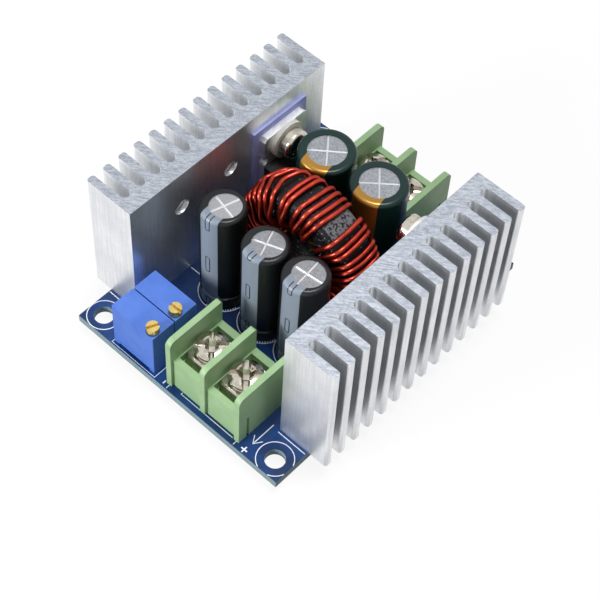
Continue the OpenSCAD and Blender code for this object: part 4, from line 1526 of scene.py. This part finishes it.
    def route(self, wire: int) -> list[Point]:
        """Leads one wire from the board round the core and back to the board.

        Args:
            wire: 0 for the first wire or 1 for the second.

        Returns:
            Points of the whole route.
        """
        run = []
        for turn in range(self.turns):
            if turn:
                angle = self.rim[2 * turn + wire]
                bulge = max(self.bulge[1], self.bulge[0] - abs(angle - self.bulge_at) / self.bulge_width)
                run.append((self.outer + bulge, 0, angle + self.bow(angle)))
            run += self.inner_half(wire, turn)
        side = 1 - 2 * wire
        return [*self.lead(-1, side, self.rim[wire]), *self.even_out(run),
                *self.lead(1, side, self.rim[2 * self.turns + wire])[::-1]]

    def build(self, repeater: Repeater) -> None:
        """Dresses the core and winds both wires.

        Args:
            repeater: The recipes for the wires.
        """
        dress_node("choke_core", CORE)
        for wire, name in enumerate(("a", "b")):
            wound = repeater.wind(
                f"enamelled_wire_{name}", self.route(wire), self.wire_d, RED_WIRE.material())
            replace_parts(settle(wound), f"choke_wire_{name}")


@dataclass
class Trimmers:
    """The two blue trimmers with their brass screws."""

    edges: Rounding = Rounding(0.15)

    def build(self) -> None:
        """Dresses the cases, screws and pins."""
        for place in ("front", "rear"):
            dress_node(f"{place}_trimmer_case", CASE_BLUE, self.edges)
            dress_node(f"{place}_trimmer_screw", BRASS)
        dress_node("trimmer_pins", TIN)


@dataclass
class TerminalBlock:
    """One green terminal block with its contacts, clamping plates and screws."""

    end: End
    edges: Rounding = Rounding(0.15)
    poles: int = 2

    def build(self) -> None:
        """Dresses the block's CAD nodes."""
        end = self.end.value
        dress_node(f"{end}_terminal_housing", GREEN, self.edges)
        for pole in range(1, self.poles + 1):
            dress_node(f"{end}_contact_{pole}", TIN)
            dress_node(f"{end}_clamp_plate_{pole}", NICKEL)
            dress_node(f"{end}_clamp_screw_{pole}", NICKEL)


@dataclass(frozen=True)
class Lamp:
    """A square soft light that faces the module; its power is in watts."""

    name: str
    at: Point
    power: float
    size: float = 400.0
    target: Point = (0.0, 0.0, 10.0)

    def hang(self) -> None:
        """Adds the light to the scene."""
        data = bpy.data.lights.new(self.name, "AREA")
        data.size = self.size * MM
        data.energy = self.power
        lamp = bpy.data.objects.new(self.name, data)
        lamp.location = Vector(self.at) * MM
        lamp.rotation_euler = (Vector(self.target) - Vector(self.at)).to_track_quat("-Z", "Y").to_euler()
        bpy.context.scene.collection.objects.link(lamp)


@dataclass
class Studio:
    """The camera of the photograph, plain soft light and a white floor."""

    azimuth: float = 39.78
    elevation: float = 55.19
    roll: float = 3.90
    distance: float = 284.15
    focal_px: float = 1658.27
    shift: Spot = (0.07, -1.01)
    sensor: float = 36.0
    image: int = 600
    clip: Pair = (10.0, 20000.0)
    lamps: tuple[Lamp, ...] = (
        Lamp("front", (-380.0, -1000.0, 420.0), 13.2), Lamp("overhead", (50.0, 150.0, 1100.0), 8.5))
    surround: float = 0.2
    floor_half: float = 1500.0
    floor_grey: str = "#8C8C8C"
    floor_white: str = "#F4F4F4"
    floor_glow: float = 0.9

    def camera(self) -> None:
        """Sets up the camera as it was solved from the photograph."""
        turn, rise, roll = (math.radians(a) for a in (self.azimuth, self.elevation, self.roll))
        back = Vector((math.sin(turn) * math.cos(rise), -math.cos(turn) * math.cos(rise), math.sin(rise)))
        level = Vector((math.cos(turn), math.sin(turn), 0.0))
        over = back.cross(level)
        right = math.cos(roll) * level + math.sin(roll) * over
        up = -math.sin(roll) * level + math.cos(roll) * over
        at = right * self.shift[0] + up * self.shift[1] + back * self.distance + Vector((0, 0, BOARD_BOTTOM))
        data = bpy.data.cameras.new("camera")
        data.sensor_width = self.sensor
        data.lens = self.sensor * self.focal_px / self.image
        data.clip_start, data.clip_end = (reach * MM for reach in self.clip)
        camera = bpy.data.objects.new("camera", data)
        camera.matrix_world = Matrix.Translation(at * MM) @ Matrix((right, up, back)).transposed().to_4x4()
        bpy.context.scene.collection.objects.link(camera)
        bpy.context.scene.camera = camera

    @staticmethod
    def seen_white(tree: bpy.types.NodeTree) -> bpy.types.Node:
        """Tells rays that come straight, mirrored or refracted from the camera from the rest.

        Args:
            tree: The tree of the world or of a material.

        Returns:
            The node that gives one for such a ray, else zero.
        """
        ray = add_node(tree, "ShaderNodeLightPath").outputs
        either = add_node(tree, "ShaderNodeMath", {
            0: ray["Is Camera Ray"], 1: ray["Is Glossy Ray"]}, operation="MAXIMUM")
        return add_node(tree, "ShaderNodeMath", {
            0: either, 1: ray["Is Transmission Ray"]}, operation="MAXIMUM")

    def world(self) -> None:
        """Makes a white surround that lights the module only gently."""
        world = bpy.data.worlds.new("studio")
        world.use_nodes = True
        bpy.context.scene.world = world
        tree = world.node_tree
        tree.nodes.clear()
        strength = add_node(tree, "ShaderNodeMapRange", {
            "Value": self.seen_white(tree), "To Min": self.surround})
        white = add_node(tree, "ShaderNodeBackground", {
            "Color": (1.0, 1.0, 1.0, 1.0), "Strength": strength})
        add_node(tree, "ShaderNodeOutputWorld", {"Surface": white})

    def floor(self) -> None:
        """Lays a white floor that keeps a faint shadow and can be seen through from below."""
        half = self.floor_half
        floor = mesh_object("floor", [(-half, -half, 0), (half, -half, 0), (half, half, 0), (-half, half, 0)],
                            faces=[(0, 1, 2, 3)])
        material = bpy.data.materials.new("white_floor")
        material.use_nodes = True
        tree = material.node_tree
        tree.nodes.clear()
        seen = self.seen_white(tree)
        pale = add_node(tree, "ShaderNodeMix", {
            SHARE: seen, COLOUR_A: linear(self.floor_grey),
            COLOUR_B: linear(self.floor_white)}, data_type="RGBA")
        matt = add_node(tree, "ShaderNodeBsdfDiffuse", {"Color": pale})
        glow = add_node(tree, "ShaderNodeEmission", {"Color": (1.0, 1.0, 1.0, 1.0), "Strength": 1.0})
        share = add_node(tree, "ShaderNodeMapRange", {"Value": seen, "To Max": self.floor_glow})
        both = add_node(tree, "ShaderNodeMixShader", {0: share, 1: matt, 2: glow})
        below = add_node(tree, "ShaderNodeNewGeometry").outputs["Backfacing"]
        clear = add_node(tree, "ShaderNodeBsdfTransparent")
        shown = add_node(tree, "ShaderNodeMixShader", {0: below, 1: both, 2: clear})
        add_node(tree, "ShaderNodeOutputMaterial", {"Surface": shown})
        give(floor, material)

    def build(self) -> None:
        """Sets up camera, light and floor."""
        bpy.context.scene.view_settings.view_transform = "Standard"
        self.camera()
        self.world()
        self.floor()
        for lamp in self.lamps:
            lamp.hang()


def main() -> None:
    """Builds the studio and dresses every sub-assembly in turn."""
    logging.basicConfig(level=logging.INFO, format="%(message)s")
    Studio().build()
    repeater = Repeater()
    Board().build(repeater)
    for side in Side:
        CooledDevice(side).build(repeater)
    Capacitors().build()
    Choke().build(repeater)
    Trimmers().build()
    for end in End:
        TerminalBlock(end).build()


if __name__ == "__main__":
    main()
